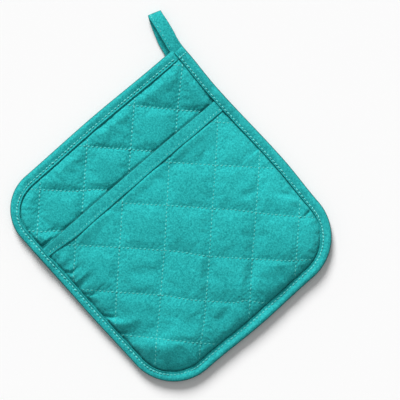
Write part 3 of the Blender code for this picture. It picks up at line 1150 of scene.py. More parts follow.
@dataclass(frozen=True)
class TwillGroup:
    """Node group: a twill weave with heathered yarn, as height, yarn tone and cloud tone."""

    name: str = "twill_weave"

    def build(self) -> bpy.types.NodeTree:
        """The shared group, made on first use.

        Returns:
            The group's node tree.
        """
        if self.name in bpy.data.node_groups:
            return bpy.data.node_groups[self.name]
        tree = bpy.data.node_groups.new(self.name, "ShaderNodeTree")
        for label, default in (("Rib pitch mm", 0.62), ("Rib turn", 0.9), ("Heather mm", 1.25),
                               ("Cloud mm", 26.0)):
            socket = tree.interface.new_socket(label, in_out="INPUT", socket_type="NodeSocketFloat")
            socket.default_value = default
        for label in ("Height", "Yarn", "Cloud"):
            tree.interface.new_socket(label, in_out="OUTPUT", socket_type="NodeSocketFloat")
        work = NodeTree(tree)
        entry, leave = work.node("NodeGroupInput"), work.node("NodeGroupOutput")
        place = work.node("ShaderNodeTexCoord")
        turned = work.node("ShaderNodeVectorRotate", rotation_type="Z_AXIS")
        work.link(place.outputs["Object"], turned.inputs["Vector"])
        work.link(entry.outputs["Rib turn"], turned.inputs["Angle"])
        ribs = work.node("ShaderNodeTexWave", wave_type="BANDS", bands_direction="X")
        rib_scale = work.math("DIVIDE", 1000.0 * math.pi * 0.1, entry.outputs["Rib pitch mm"])
        work.link(turned.outputs["Vector"], ribs.inputs["Vector"])
        work.link(rib_scale, ribs.inputs["Scale"])
        ribs.inputs["Distortion"].default_value = 1.2
        ribs.inputs["Detail"].default_value = 1.0
        ribs.inputs["Detail Scale"].default_value = 1.6
        picks = work.node("ShaderNodeTexWave", wave_type="BANDS", bands_direction="Y")
        work.link(turned.outputs["Vector"], picks.inputs["Vector"])
        work.link(rib_scale, picks.inputs["Scale"])
        picks.inputs["Distortion"].default_value = 1.6
        yarn = work.node("ShaderNodeTexNoise")
        work.link(turned.outputs["Vector"], yarn.inputs["Vector"])
        work.link(work.math("DIVIDE", 1000.0, entry.outputs["Heather mm"]), yarn.inputs["Scale"])
        yarn.inputs["Detail"].default_value = 3.0
        yarn.inputs["Roughness"].default_value = 0.75
        cloud = work.node("ShaderNodeTexNoise")
        work.link(place.outputs["Object"], cloud.inputs["Vector"])
        work.link(work.math("DIVIDE", 1000.0, entry.outputs["Cloud mm"]), cloud.inputs["Scale"])
        cloud.inputs["Detail"].default_value = 2.0
        pick_height = work.math("MULTIPLY_ADD", picks.outputs["Fac"], 0.5, 0.5)
        woven = work.math("MULTIPLY", ribs.outputs["Fac"], pick_height)
        height = work.math("MULTIPLY_ADD", yarn.outputs["Fac"], 0.5, woven)
        work.link(height, leave.inputs["Height"])
        work.link(yarn.outputs["Fac"], leave.inputs["Yarn"])
        work.link(cloud.outputs["Fac"], leave.inputs["Cloud"])
        return tree


@dataclass(frozen=True)
class ClothFinish:
    """Matt dyed cotton: weave, heathered yarn, slow clouding, soft sheen and, where set, painted shade on
    steep sides.
    """

    name: str
    base: Tuple[float, float, float]
    light: Tuple[float, float, float]
    dark: Tuple[float, float, float]
    rib_pitch: float = 0.62
    rib_turn: float = 0.9
    weave_depth: float = 0.14
    heather: float = 0.9
    # how far painted shade darkens steep sides, 0 for none
    painted_side_shade_strength: float = 0.0
    roughness: float = 0.88
    sheen: float = 0.06

    def build(self) -> bpy.types.Material:
        """The material, dressed with the shared weave group.

        Returns:
            The new material.
        """
        material = bpy.data.materials.new(self.name)
        material.use_nodes = True
        work = NodeTree(material.node_tree)
        shader = material.node_tree.nodes["Principled BSDF"]
        weave = work.node("ShaderNodeGroup", node_tree=TwillGroup().build())
        weave.inputs["Rib pitch mm"].default_value = self.rib_pitch
        weave.inputs["Rib turn"].default_value = self.rib_turn
        yarn = work.node("ShaderNodeMapRange")
        work.link(weave.outputs["Yarn"], yarn.inputs["Value"])
        yarn.inputs["From Min"].default_value = 0.33
        yarn.inputs["From Max"].default_value = 0.67
        heather = work.mix(yarn.outputs["Result"], (*self.dark, 1.0), (*self.light, 1.0))
        toned = work.mix(self.heather, (*self.base, 1.0), heather)
        cloud = work.node("ShaderNodeMapRange")
        work.link(weave.outputs["Cloud"], cloud.inputs["Value"])
        cloud.inputs["From Min"].default_value = 0.3
        cloud.inputs["From Max"].default_value = 0.7
        cloud.inputs["To Min"].default_value = 0.94
        cloud.inputs["To Max"].default_value = 1.05
        # slow cloud tone times the painted shade of steep sides, multiplied into the base colour
        cloud_and_painted_shade = work.node("ShaderNodeCombineColor")
        depth = work.math("MULTIPLY", cloud.outputs["Result"], self.painted_side_shade(work))
        for socket in cloud_and_painted_shade.inputs[:3]:
            work.link(depth, socket)
        work.link(work.mix(1.0, toned, cloud_and_painted_shade.outputs[0], "MULTIPLY"), shader.inputs["Base Color"])
        rough = work.math("MULTIPLY_ADD", weave.outputs["Yarn"], 0.16, self.roughness - 0.08)
        work.link(rough, shader.inputs["Roughness"])
        bump = work.node("ShaderNodeBump")
        bump.inputs["Strength"].default_value = 0.7
        bump.inputs["Distance"].default_value = self.weave_depth * MM
        work.link(weave.outputs["Height"], bump.inputs["Height"])
        work.link(bump.outputs["Normal"], shader.inputs["Normal"])
        shader.inputs["Specular IOR Level"].default_value = 0.12
        shader.inputs["Sheen Weight"].default_value = self.sheen
        shader.inputs["Sheen Roughness"].default_value = 0.5
        return material

    def painted_side_shade(self, work: NodeTree) -> bpy.types.NodeSocket:
        """1 on cloth that lies flat, lower on the sides of a roll: painted shade that darkens the colour by
        how steeply the surface stands.

        Args:
            work: The material's nodes.

        Returns:
            Socket that gives the painted shade.
        """
        # painted shade: the colour darkens where the surface normal tips away from straight up or down
        facing = work.node("ShaderNodeSeparateXYZ")
        work.link(work.node("ShaderNodeNewGeometry").outputs["Normal"], facing.inputs[0])
        level = work.node("ShaderNodeMapRange", interpolation_type="SMOOTHSTEP")
        work.link(work.math("ABSOLUTE", facing.outputs["Z"], 0.0), level.inputs["Value"])
        level.inputs["From Min"].default_value = 0.30
        level.inputs["From Max"].default_value = 0.95
        level.inputs["To Min"].default_value = 1.0 - self.painted_side_shade_strength
        level.inputs["To Max"].default_value = 1.0
        return level.outputs["Result"]


@dataclass(frozen=True)
class NeopreneFinish:
    """Charcoal knit-faced neoprene with a dark pin-hole in every cell of a square grid."""

    name: str = "charcoal_neoprene"
    base: Tuple[float, float, float] = (0.040, 0.036, 0.034)
    hole: Tuple[float, float, float] = (0.006, 0.006, 0.006)
    pitch: float = 2.2

    def build(self) -> bpy.types.Material:
        """The material: the holes' colour follows the moulded cells.

        Returns:
            The new material.
        """
        material = bpy.data.materials.new(self.name)
        material.use_nodes = True
        work = NodeTree(material.node_tree)
        shader = material.node_tree.nodes["Principled BSDF"]
        place = work.node("ShaderNodeTexCoord")
        apart = work.node("ShaderNodeSeparateXYZ")
        work.link(place.outputs["Object"], apart.inputs[0])
        waves = []
        for axis in ("X", "Y"):
            turn = work.math("MULTIPLY", apart.outputs[axis], 2.0 * math.pi * 1000.0 / self.pitch)
            waves.append(work.math("COSINE", turn))
        hole = work.math("MULTIPLY", work.math("MULTIPLY_ADD", waves[0], -0.5, 0.5),
                         work.math("MULTIPLY_ADD", waves[1], -0.5, 0.5))
        mask = work.node("ShaderNodeMapRange")
        work.link(hole, mask.inputs["Value"])
        mask.inputs["From Min"].default_value = 0.35
        mask.inputs["From Max"].default_value = 0.75
        fuzz = work.node("ShaderNodeTexNoise")
        work.link(place.outputs["Object"], fuzz.inputs["Vector"])
        fuzz.inputs["Scale"].default_value = 1400.0
        fuzz.inputs["Detail"].default_value = 3.0
        worn = work.mix(fuzz.outputs["Fac"], tuple(0.7 * c for c in self.base) + (1.0,),
                        tuple(1.35 * c for c in self.base) + (1.0,))
        work.link(work.mix(mask.outputs["Result"], worn, (*self.hole, 1.0)), shader.inputs["Base Color"])
        work.link(work.math("MULTIPLY_ADD", fuzz.outputs["Fac"], 0.2, 0.6), shader.inputs["Roughness"])
        bump = work.node("ShaderNodeBump")
        bump.inputs["Strength"].default_value = 0.6
        bump.inputs["Distance"].default_value = 0.25 * MM
        work.link(work.math("MULTIPLY_ADD", hole, -1.0, fuzz.outputs["Fac"]), bump.inputs["Height"])
        work.link(bump.outputs["Normal"], shader.inputs["Normal"])
        shader.inputs["Specular IOR Level"].default_value = 0.35
        return material


@dataclass(frozen=True)
class ThreadFinish:
    """Twisted sewing thread, a shade lighter than the cloth."""

    name: str = "aqua_thread"
    base: Tuple[float, float, float] = (0.13, 0.74, 0.71)

    def build(self) -> bpy.types.Material:
        """The material, with the thread's twist as fine slanted ridges and painted shade darkening their
        grooves.

        Returns:
            The new material.
        """
        material = bpy.data.materials.new(self.name)
        material.use_nodes = True
        work = NodeTree(material.node_tree)
        shader = material.node_tree.nodes["Principled BSDF"]
        place = work.node("ShaderNodeTexCoord")
        twist = work.node("ShaderNodeTexWave", wave_type="BANDS", bands_direction="DIAGONAL")
        work.link(place.outputs["Object"], twist.inputs["Vector"])
        twist.inputs["Scale"].default_value = 900.0
        # painted shade: the twist's grooves, low in the bump below, are coloured darker
        dark = tuple(0.72 * c for c in self.base)
        colour = work.mix(twist.outputs["Fac"], (*dark, 1.0), (*self.base, 1.0))
        work.link(colour, shader.inputs["Base Color"])
        bump = work.node("ShaderNodeBump")
        bump.inputs["Strength"].default_value = 0.5
        bump.inputs["Distance"].default_value = 0.08 * MM
        work.link(twist.outputs["Fac"], bump.inputs["Height"])
        work.link(bump.outputs["Normal"], shader.inputs["Normal"])
        shader.inputs["Roughness"].default_value = 0.55
        shader.inputs["Sheen Weight"].default_value = 0.2
        return material


@dataclass
class Workshop:
    """What every sub-assembly needs: the pattern, the layers, the mesh maker and the finishes."""

    layers: Layers
    maker: MeshMaker
    cotton: bpy.types.Material
    pocket_cotton: bpy.types.Material
    tape: bpy.types.Material
    neoprene: bpy.types.Material
    thread: bpy.types.Material
    pocket_thread: bpy.types.Material

    @property
    def pattern(self) -> PadPattern:
        """The pad's flat pattern."""
        return self.layers.pattern

    def dress(self, piece: bpy.types.Object, material: bpy.types.Material, slot: str,
              nodes: Sequence[str] = ()) -> bpy.types.Object:
        """Gives a piece its material and hides the imported parts that it stands for.

        Args:
            piece: The piece.
            material: Its material.
            slot: Its slot in the record. Not used.
            nodes: Names of the imported parts that it stands for, which are hidden.

        Returns:
            The same piece.
        """
        piece.data.materials.append(material)
        if nodes:
            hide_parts(*nodes)
        LOG.info("%s: %d faces", piece.name, len(piece.data.polygons))
        return piece


@dataclass
class QuiltedFront:
    """Front panel with its thin filling, sewn through along its diamonds."""

    shop: Workshop
    fine: float = 0.66
    coarse: float = 3.2
    fill: float = 0.45
    columns: int = 274
    foot_turn: float = 36.0
    top_turn: float = 29.0
    seen_below_mouth: float = 16.0
    line_reach: float = 150.0
    clear_of_tape: float = 0.8
    relaxing: SewnClothRun = SewnClothRun(growth=0.011, pressure=0.3, most_moved=0.65)

    def quilt_lines(self, quilting: Quilting, reach: float) -> List[Tuple[Family, int]]:
        """Every line of the quilting that can cross the pad."""
        count = int(reach / quilting.pitch) + 1
        return [(family, index) for family in Family for index in range(-count, count + 1)]

    def sewn_down(self, quilting: Quilting, x: Array, y: Array) -> Array:
        """1 on the quilting lines and under the tape, 0 in the open cloth.

        Args:
            quilting: The quilting lines.
            x: Pattern x of the places.
            y: Pattern y of the places.

        Returns:
            How firmly each place is held, from 0 to 1.
        """
        near = np.zeros(x.shape)
        for family in Family:
            away, _, _ = quilting.distance(family, x, y)
            near = np.maximum(near, 1.0 - ease(np.abs(away), 0.7, 1.6))
        return np.maximum(near, 1.0 - ease(self.shop.layers.inside_tape(x, y), 0.5, 1.8))

    def line_points(self, quilting: Quilting, family: Family, index: int) -> Tuple[Array, Array]:
        """Pattern places of the stitches along one line.

        Args:
            quilting: The quilting lines.
            family: Direction of the line.
            index: Number of the line.

        Returns:
            Pattern x and y of the stitches.
        """
        steps = np.arange(-60, 61)
        along = (steps + 0.5) * quilting.stitch_pitch
        drift = quilting.wander(np.full(along.shape, float(index)), along, family)
        across = index * quilting.pitch + drift
        if family is Family.RISING:
            rising, falling = across + quilting.rising_phase, along
        else:
            rising, falling = along, across + quilting.falling_phase
        return (falling + rising) / DIAGONAL, (falling - rising) / DIAGONAL

    def sew(self, row: StitchRow, quilting: Quilting, height: Field,
            inside: Callable[[Array, Array], Array]) -> None:
        """Adds the stitches of every quilting line that lie inside a region.

        Args:
            row: Row that takes the stitches.
            quilting: The quilting lines.
            height: Height of the sewn surface.
            inside: True where stitches are wanted.
        """
        for family, index in self.quilt_lines(quilting, self.line_reach):
            x, y = self.line_points(quilting, family, index)
            kept = inside(x, y)
            if not kept.any():
                continue
            slope = 1.0 if family is Family.RISING else -1.0
            heading = (1.0 / DIAGONAL, slope / DIAGONAL)
            row.add(*surface_frame(self.shop.pattern, height, x[kept], y[kept], heading))

    def build(self) -> None:
        """Builds the panel and its stitches."""
        layers, pattern = self.shop.layers, self.shop.pattern
        seen_from = layers.pocket_mouth_y - self.seen_below_mouth
        heights = PanelGrid.rows(
            layers.tuck - pattern.half_length, pattern.half_length - layers.tuck,
            self.foot_turn, self.top_turn,
            lambda y: self.fine if y > seen_from else self.coarse)
        grid = PanelGrid(pattern, layers.tuck, self.columns, heights)
        x, y = grid.points()
        upper = pattern.settle(x, y, layers.body_top(x, y))
        seen = y > seen_from - 2.0
        held = np.where(seen, self.sewn_down(layers.body_quilting, x, y), 1.0)
        first = int(np.argmax(seen.any(axis=1)))
        upper[first:] += self.relaxing.relax(upper[first:], held[first:])
        lower = pattern.settle(x, y, np.full(x.shape, layers.back_top + layers.gap))
        panel = self.shop.maker.sheet("quilted_front", upper, lower)
        self.shop.dress(panel, self.shop.cotton, "quilted_cotton", ["quilted_body"])
        row = StitchRow(Stitch(length=2.2, radius=0.32, arch=0.22, sink=0.24), seed=5)
        self.sew(row, layers.body_quilting, layers.body_top,
                 lambda a, b: (layers.inside_tape(a, b) > self.clear_of_tape) & (b > seen_from))
        self.shop.dress(row.build(self.shop.maker, "front_quilt_stitches"), self.shop.thread,
                        "quilted_cotton")


@dataclass
class Pocket(QuiltedFront):
    """Pocket panel, quilted on its own lines, arched off the front."""

    relaxing: SewnClothRun = SewnClothRun(growth=0.007, pressure=0.05, most_moved=0.5)

    def build(self) -> None:
        """Builds the pocket panel and its stitches."""
        layers, pattern = self.shop.layers, self.shop.pattern
        heights = PanelGrid.rows(layers.tuck - pattern.half_length, layers.pocket_mouth_y,
                                 self.foot_turn, 0.0, lambda y: self.fine)
        grid = PanelGrid(pattern, layers.tuck, self.columns, heights)
        x, y = grid.points()
        upper = pattern.settle(x, y, layers.pocket_top(x, y))
        lower = pattern.settle(x, y, layers.pocket_underside(x, y))
        hem = layers.mouth_top - layers.mouth_tape_width
        held = np.maximum(self.sewn_down(layers.pocket_quilting, x, y), ease(y, hem - 1.0, hem + 1.0))
        moved = self.relaxing.relax(upper, held)
        upper, lower = upper + moved, lower + moved * (1.0 - held[..., None])
        panel = self.shop.maker.sheet("pocket", upper, lower)
        self.shop.dress(panel, self.shop.pocket_cotton, "pocket_cotton", ["pocket_panel"])
        row = StitchRow(Stitch(length=2.2, radius=0.28, arch=0.17, sink=0.22), seed=6)
        last = layers.mouth_top - layers.mouth_tape_width - 0.8
        self.sew(row, layers.pocket_quilting, layers.pocket_top,
                 lambda a, b: (layers.inside_tape(a, b) > self.clear_of_tape) & (b < last))
        self.shop.dress(row.build(self.shop.maker, "pocket_quilt_stitches"), self.shop.pocket_thread,
                        "pocket_cotton")


@dataclass
class NeopreneBack:
    """Back sheet with a square grid of pressed cells, flat on the ground."""

    shop: Workshop
    pitch: float = 2.2
    per_cell: int = 3
    depth: float = 0.55
    cover_span: float = 14.0
    cover_rounds: int = 5
    merge: float = 0.002
    pressed_height: float = 1.3

    def build(self) -> None:
        """Builds the back sheet, its cells on the underside."""
        layers, pattern = self.shop.layers, self.shop.pattern
        step = self.pitch / self.per_cell
        columns = int(2.0 * (pattern.half_width - layers.tuck) / step)
        rows = int(2.0 * (pattern.half_length - layers.tuck) / step)
        across = (np.arange(columns + 1) - columns // 2) * step
        up = (np.arange(rows + 1) - rows // 2) * step
        x, y = np.meshgrid(across, up)
        away = pattern.inset(x, y)
        pressed = self.pressed_height * (1.0 - ease(away, layers.edge_width + 2.5, layers.edge_width + 9.0))
        in_cell = ((np.arange(columns + 1) - columns // 2) % self.per_cell != 0)[None, :]
        in_cell = in_cell & ((np.arange(rows + 1) - rows // 2) % self.per_cell != 0)[:, None]
        lower = pattern.settle(x, y, pressed + np.where(in_cell, self.depth, 0.0))
        kept = away > layers.tuck + 0.6
        cells = kept[:-1, :-1] & kept[:-1, 1:] & kept[1:, 1:] & kept[1:, :-1]
        number = np.arange(x.size).reshape(x.shape)
        quads = MeshMaker.quads(number)[cells.reshape(-1)]
        used, renumbered = np.unique(quads, return_inverse=True)
        piece = self.shop.maker.make("neoprene_sheet", lower.reshape(-1, 3)[used],
                                     renumbered.reshape(-1, 4).tolist())
        self.close_top(piece, layers.back_top)
        self.shop.dress(piece, self.shop.neoprene, "neoprene", ["neoprene_back"])

    def raise_to(self, top: float, vertices: Iterable[bmesh.types.BMVert]) -> None:
        """Puts vertices on the sheet's upper face, lifted where the loop lies under it.

        Args:
            top: Height of the upper face, in millimetres.
            vertices: The vertices to move.
        """
        for vertex in vertices:
            lift = float(self.shop.pattern.lift(np.array(vertex.co.x / MM), np.array(vertex.co.y / MM)))
            vertex.co.z = (top + lift) * MM

    def close_top(self, piece: bpy.types.Object, top: float) -> None:
        """Raises the sheet's rim to its upper face and closes it there.

        Args:
            piece: The sheet, open at the top.
            top: Height of the upper face, in millimetres.
        """
        mesh = bmesh.new()
        mesh.from_mesh(piece.data)
        rim = [edge for edge in mesh.edges if edge.is_boundary]
        raised = bmesh.ops.extrude_edge_only(mesh, edges=rim)["geom"]
        self.raise_to(top, (item for item in raised if isinstance(item, bmesh.types.BMVert)))
        filled = bmesh.ops.holes_fill(mesh, edges=[edge for edge in mesh.edges if edge.is_boundary])["faces"]
        cover = bmesh.ops.triangulate(mesh, faces=filled)["faces"]
        for _ in range(self.cover_rounds):
            edges = dict.fromkeys(edge for face in cover for edge in face.edges)
            spans = [edge for edge in edges if edge.calc_length() > self.cover_span * MM]
            cut = bmesh.ops.subdivide_edges(mesh, edges=spans, cuts=1)["geom"]
            pieces = cover + [item for item in cut if isinstance(item, bmesh.types.BMFace)]
            pieces = list(dict.fromkeys(face for face in pieces if face.is_valid))
            bmesh.ops.triangulate(mesh, faces=pieces)
            mesh.verts.index_update()
            cover = [face for face in mesh.faces if len(face.verts) == 3]
            self.raise_to(top, dict.fromkeys(corner for face in cover for corner in face.verts))
        bmesh.ops.dissolve_degenerate(mesh, dist=self.merge * MM, edges=mesh.edges[:])
        bmesh.ops.recalc_face_normals(mesh, faces=mesh.faces[:])
        points, faces = MeshMaker.in_order(mesh)
        mesh.free()
        piece.data.clear_geometry()
        piece.data.from_pydata(points.tolist(), [], faces)
        piece.data.shade_smooth()


@dataclass
class MouthTape:
    """Tape folded over the pocket's open edge, with one row of stitches near its lower edge."""

    shop: Workshop
    stations: int = 180
    stitch_in: float = 1.7

    def section(self, x: Array) -> Array:
        """Closed sections of the folded tape at places across the pad.

        Args:
            x: Places across the pad.

        Returns:
            Stations by section points by 3.
        """
        layers, pattern = self.shop.layers, self.shop.pattern
        edge_y = layers.pocket_mouth_y
        top_y = edge_y + layers.gap
        wobble = 0.25 * value_noise(x, x * 0.0, 14.0, 61)
        leg_end = layers.hem(x)
        thickness = blend(layers.mouth_tape_pressed, layers.tape, layers.field(x, np.full(x.shape, edge_y)))
        half = 0.5 * thickness
        legs = np.linspace(0.0, 1.0, 9)
        turns = np.linspace(-QUARTER_TURN, QUARTER_TURN, 11)
        ends = np.linspace(QUARTER_TURN, -QUARTER_TURN, 5)[1:-1]
        rows: List[Array] = []

        def place(y: Array, offset: Array) -> Array:
            """Point of the upper leg, offset outward from the leg's middle surface.

            Args:
                y: Pattern y of the point.
                offset: Millimetres outward.

            Returns:
                The points, one for each station.
            """
            under = np.minimum(y, edge_y)
            base = layers.pocket_top(x, under)
            calm = blend(base, layers.pocket_underside(x, under) + 1.7, 0.6)
            pinch = 0.34 * np.exp(-(((y - leg_end - self.stitch_in) / 0.6) ** 2))
            bow = 0.2 * np.exp(-(((y - leg_end - 6.5) / 2.6) ** 2))
            return pattern.settle(x, y, calm + layers.gap * 0.4 + half + offset - pinch + bow)

        def place_under(y: Array, offset: Array) -> Array:
            """Point of the lower leg, offset outward from the leg's middle surface."""
            base = layers.pocket_underside(x, np.minimum(y, edge_y))
            return pattern.settle(x, y, base - layers.gap - half - offset)

        for part in legs:
            rows.append(place_under(blend(leg_end, top_y, part) + wobble * (1.0 - part), half))
        middle = 0.5 * (layers.pocket_top(x, np.full(x.shape, edge_y))
                        + layers.pocket_underside(x, np.full(x.shape, edge_y)))
        depth = layers.pocket_top(x, np.full(x.shape, edge_y)) - middle
        for turn in turns[1:-1]:
            reach = depth + layers.gap + thickness
            rows.append(pattern.settle(x, top_y + layers.tape * math.cos(turn) + 0.0 * x,
                                       middle + reach * math.sin(turn)))
        for part in legs[::-1]:
            rows.append(place(blend(leg_end, top_y, part) + wobble * (1.0 - part), half))
        for turn in ends:
            rows.append(place(leg_end + wobble - 0.5 * math.cos(turn), half * math.sin(turn)))
        for part in legs:
            rows.append(place(blend(leg_end, top_y, part) + wobble * (1.0 - part), -half))
        for turn in turns[::-1][1:-1]:
            reach = depth + layers.gap
            rows.append(pattern.settle(x, top_y + 0.0 * x, middle + reach * math.sin(turn)))
        for part in legs[::-1]:
            rows.append(place_under(blend(leg_end, top_y, part) + wobble * (1.0 - part), -half))
        for turn in ends[::-1]:
            rows.append(place_under(leg_end + wobble - 0.5 * math.cos(turn), half * math.sin(-turn)))
        return np.stack(rows, axis=1)

    def build(self) -> None:
        """Builds the tape and its stitch row."""
        layers, pattern = self.shop.layers, self.shop.pattern
        y = np.array(layers.pocket_mouth_y)
        low = float(pattern.side_x(-1.0, y, layers.tuck + 0.5))
        high = float(pattern.side_x(1.0, y, layers.tuck + 0.5))
        sections = self.section(np.linspace(low, high, self.stations))
        tape = self.shop.maker.sweep("pocket_mouth_tape", sections)
        self.shop.dress(tape, self.shop.tape, "cotton_tape", ["pocket_mouth_binding"])
        self.sew(low + 5.5, high - 5.5)

    def sew(self, low: float, high: float) -> None:
        """Adds the row of stitches that holds both legs.

        Args:
            low: X of the first stitch.
            high: X that the row ends before.
        """
        layers, pattern = self.shop.layers, self.shop.pattern

        def top(x: Array, y: Array) -> Array:
            """Upper face of the tape's upper leg."""
            base = blend(layers.pocket_top(x, y), layers.pocket_underside(x, y) + 1.7, 0.6)
            return base + layers.gap * 0.4 + layers.tape - 0.32

        x = np.arange(low, high, 2.9)
        y = layers.hem(x) + self.stitch_in + 0.25 * value_noise(x, x * 0.0, 14.0, 61)
        row = StitchRow(Stitch(length=1.6, radius=0.26, arch=0.10, slant=0.9), seed=7)
        row.add(*surface_frame(pattern, top, x, y, (1.0, 0.0)))
        self.shop.dress(row.build(self.shop.maker, "mouth_stitches"), self.shop.pocket_thread, "cotton_tape")


@dataclass
class EdgeTape:
    """Tape folded round the pad's edge: a plump outer roll, two flanges and one stitch row."""

    shop: Workshop
    step: float = 0.95
    tape_start: float = 8.0
    stitch_pitch: float = 3.15
    roll: float = 2.6
    squareness: float = 0.72
    closed_from: float = 91.0

    def walk(self) -> Tuple[Array, Array, Array]:
        """Stations along the outer edge.

        Returns:
            The stations' pattern places, their inward directions and their distances along the edge.
        """
        pattern = self.shop.pattern
        width, length = pattern.half_width, pattern.half_length
        places: List[Tuple[float, float]] = []
        inward: List[Tuple[float, float]] = []

        def straight(start: Tuple[float, float], end: Tuple[float, float],
                     normal: Tuple[float, float]) -> None:
            """Adds evenly spaced stations from start up to end.

            Args:
                start: First place.
                end: Place that the stations stop before.
                normal: Their inward direction.
            """
            count = max(1, round(math.dist(start, end) / self.step))
            for part in np.arange(count) / count:
                places.append((blend(start[0], end[0], part), blend(start[1], end[1], part)))
                inward.append(normal)

        def corner(x: float, y: float, radius: float, first: float) -> None:
            """Adds stations round a quarter turn.

            Args:
                x: X of the corner's centre.
                y: Y of the corner's centre.
                radius: The corner's radius.
                first: Angle of the first station.
            """
            count = max(1, round(0.5 * math.pi * radius / self.step))
            for turn in first + 0.5 * math.pi * np.arange(count) / count:
                places.append((x + radius * math.cos(turn), y + radius * math.sin(turn)))
                inward.append((-math.cos(turn), -math.sin(turn)))

        first, second, third = pattern.top_left_radius, pattern.foot_left_radius, pattern.foot_right_radius
        straight((width - self.tape_start, length), (first - width, length), (0.0, -1.0))
        corner(first - width, length - first, first, 0.5 * math.pi)
        straight((-width, length - first), (-width, second - length), (1.0, 0.0))
        corner(second - width, second - length, second, math.pi)
        straight((second - width, -length), (width - third, -length), (0.0, 1.0))
        corner(width - third, third - length, third, 1.5 * math.pi)
        straight((width, third - length), (width, self.closed_from + 7.5), (-1.0, 0.0))
        places.append((width, self.closed_from + 7.5))
        inward.append((-1.0, 0.0))
        spots = np.array(places)
        gone = np.concatenate([[0.0], np.cumsum(np.linalg.norm(np.diff(spots, axis=0), axis=1))])
        return spots, np.array(inward), gone

    def section(self, place: Array, inward: Array, gone: Array) -> Array:
        """Closed sections of the folded tape, one for each station.

        Args:
            place: The stations' pattern places.
            inward: Their inward directions.
            gone: Their distances along the edge.

        Returns:
            Stations by section points by 3.
        """
        layers, pattern = self.shop.layers, self.shop.pattern
        closing = ease(place[:, 1] * (inward[:, 0] < -0.5), self.closed_from, self.closed_from + 7.0)
        opening = 1.0 - ease(gone, 0.0, 9.0)
        bump = layers.mouth_bump * layers.near_mouth(place[:, 1])
        width = layers.by_side("width", -inward[:, 0], -inward[:, 1])
        width = width + 0.12 * value_noise(gone, gone * 0.0, 9.0, 71)
        top = layers.edge_height + bump + 0.2 * value_noise(gone, gone * 0.0, 8.0, 72)
        ending = ease(place[:, 1] * (inward[:, 0] < -0.5), self.closed_from + 4.5, self.closed_from + 7.5)
        top = top + 0.2 * closing - 0.6 * ending - 1.6 * opening
        bottom = 2.0 * closing
        middle, rise = 0.5 * (top + bottom), 0.5 * (top - bottom)
        stitch_at = width - layers.by_side("stitch_in", -inward[:, 0], -inward[:, 1])
        tilt = layers.by_side("tilt", -inward[:, 0], -inward[:, 1]) * (1.0 - closing) * (1.0 - opening)
        wrinkle = 0.16 * np.cos(2.0 * math.pi * gone / self.stitch_pitch)
        crimp = 0.20 * value_noise(gone, gone * 0.0, 3.4, 74)
        fine, rough = 1.0 - np.linspace(1.0, 0.0, 20) ** 1.7, np.linspace(0.0, 1.0, 6)
        turns = np.linspace(-QUARTER_TURN, QUARTER_TURN, 15)[1:-1]
        ends = np.linspace(QUARTER_TURN, -QUARTER_TURN, 6)[1:-1]
        ring: List[Tuple[Array, Array]] = []

        def face(depth: Array, side: float, drop: float) -> Tuple[Array, Array]:
            """Point of a flange, dropped from its outer face towards the middle.

            Args:
                depth: Distance in from the edge.
                side: 1 for the upper flange, -1 for the lower.
                drop: Millimetres from the outer face towards the middle.

            Returns:
                Depth and height at every station.
            """
            pinch = np.exp(-(((depth - stitch_at) / 0.75) ** 2))
            valley = np.exp(-(((depth - stitch_at) / 2.0) ** 2))
            groove = np.exp(-(((depth - width + 1.2) / 0.42) ** 2))
            sunk = (0.26 + wrinkle) * pinch + (0.18 + crimp) * valley + 0.30 * groove
            crown = 0.26 * np.exp(-(((depth - 0.5 * stitch_at) / 1.7) ** 2))
            wave = 0.18 * value_noise(gone, depth * 1.0, 5.0, 75)
            level = max(side, 0.0) * tilt * (depth - 0.5 * width)
            return depth, middle + side * (rise - sunk + crown + wave - drop) + level

        def leg(side: float, drop: float, order: int) -> None:
            """Adds one face of a flange, from its roll to its inner edge or back."""
            for part in (fine if drop == 0.0 else rough)[::order]:
                ring.append(face(blend(self.roll, width - 0.5 * layers.tape, part), side, drop))

        def turn_over(reach: float, height: Array, order: int) -> None:
            """Adds the roll round the pad's edge, squarer than a circle.

            Args:
                reach: How far the roll stands out.
                height: Half of its height, at every station.
                order: 1 from below to above, -1 back.
            """
            for turn in turns[::order]:
                out = abs(math.cos(turn)) ** self.squareness
                up = abs(math.sin(turn)) ** self.squareness * math.copysign(1.0, turn)
                depth = self.roll - reach * out + 0.0 * gone
                level = tilt * (self.roll - 0.5 * width) * (1.0 if turn > 0.0 else 0.0)
                ring.append((depth, middle + height * up + level * up))

        def lip(side: float) -> None:
            """Adds the folded inner edge of a flange.

            Args:
                side: 1 for the upper flange, -1 for the lower.
            """
            for turn in ends:
                depth = width - 0.5 * layers.tape + 0.5 * layers.tape * math.cos(turn)
                ring.append(face(depth, side, 0.5 * layers.tape * (1.0 - side * math.sin(turn))))

        leg(-1.0, 0.0, -1)
        turn_over(self.roll, rise, 1)
        leg(1.0, 0.0, 1)
        lip(1.0)
        leg(1.0, layers.tape, -1)
        turn_over(self.roll - layers.tape, rise - layers.tape, -1)
        leg(-1.0, layers.tape, 1)
        lip(-1.0)
        rows = [pattern.settle(place[:, 0] + inward[:, 0] * depth, place[:, 1] + inward[:, 1] * depth,
                               np.maximum(z, 0.02)) for depth, z in ring]
        return np.stack(rows, axis=1)

    def build(self) -> None:
        """Builds the tape and the stitch rows on both of its faces."""
        place, inward, gone = self.walk()
        tape = self.shop.maker.sweep("edge_tape", self.section(place, inward, gone))
        self.shop.dress(tape, self.shop.tape, "cotton_tape", ["edge_binding"])
        self.sew(place, inward, gone)

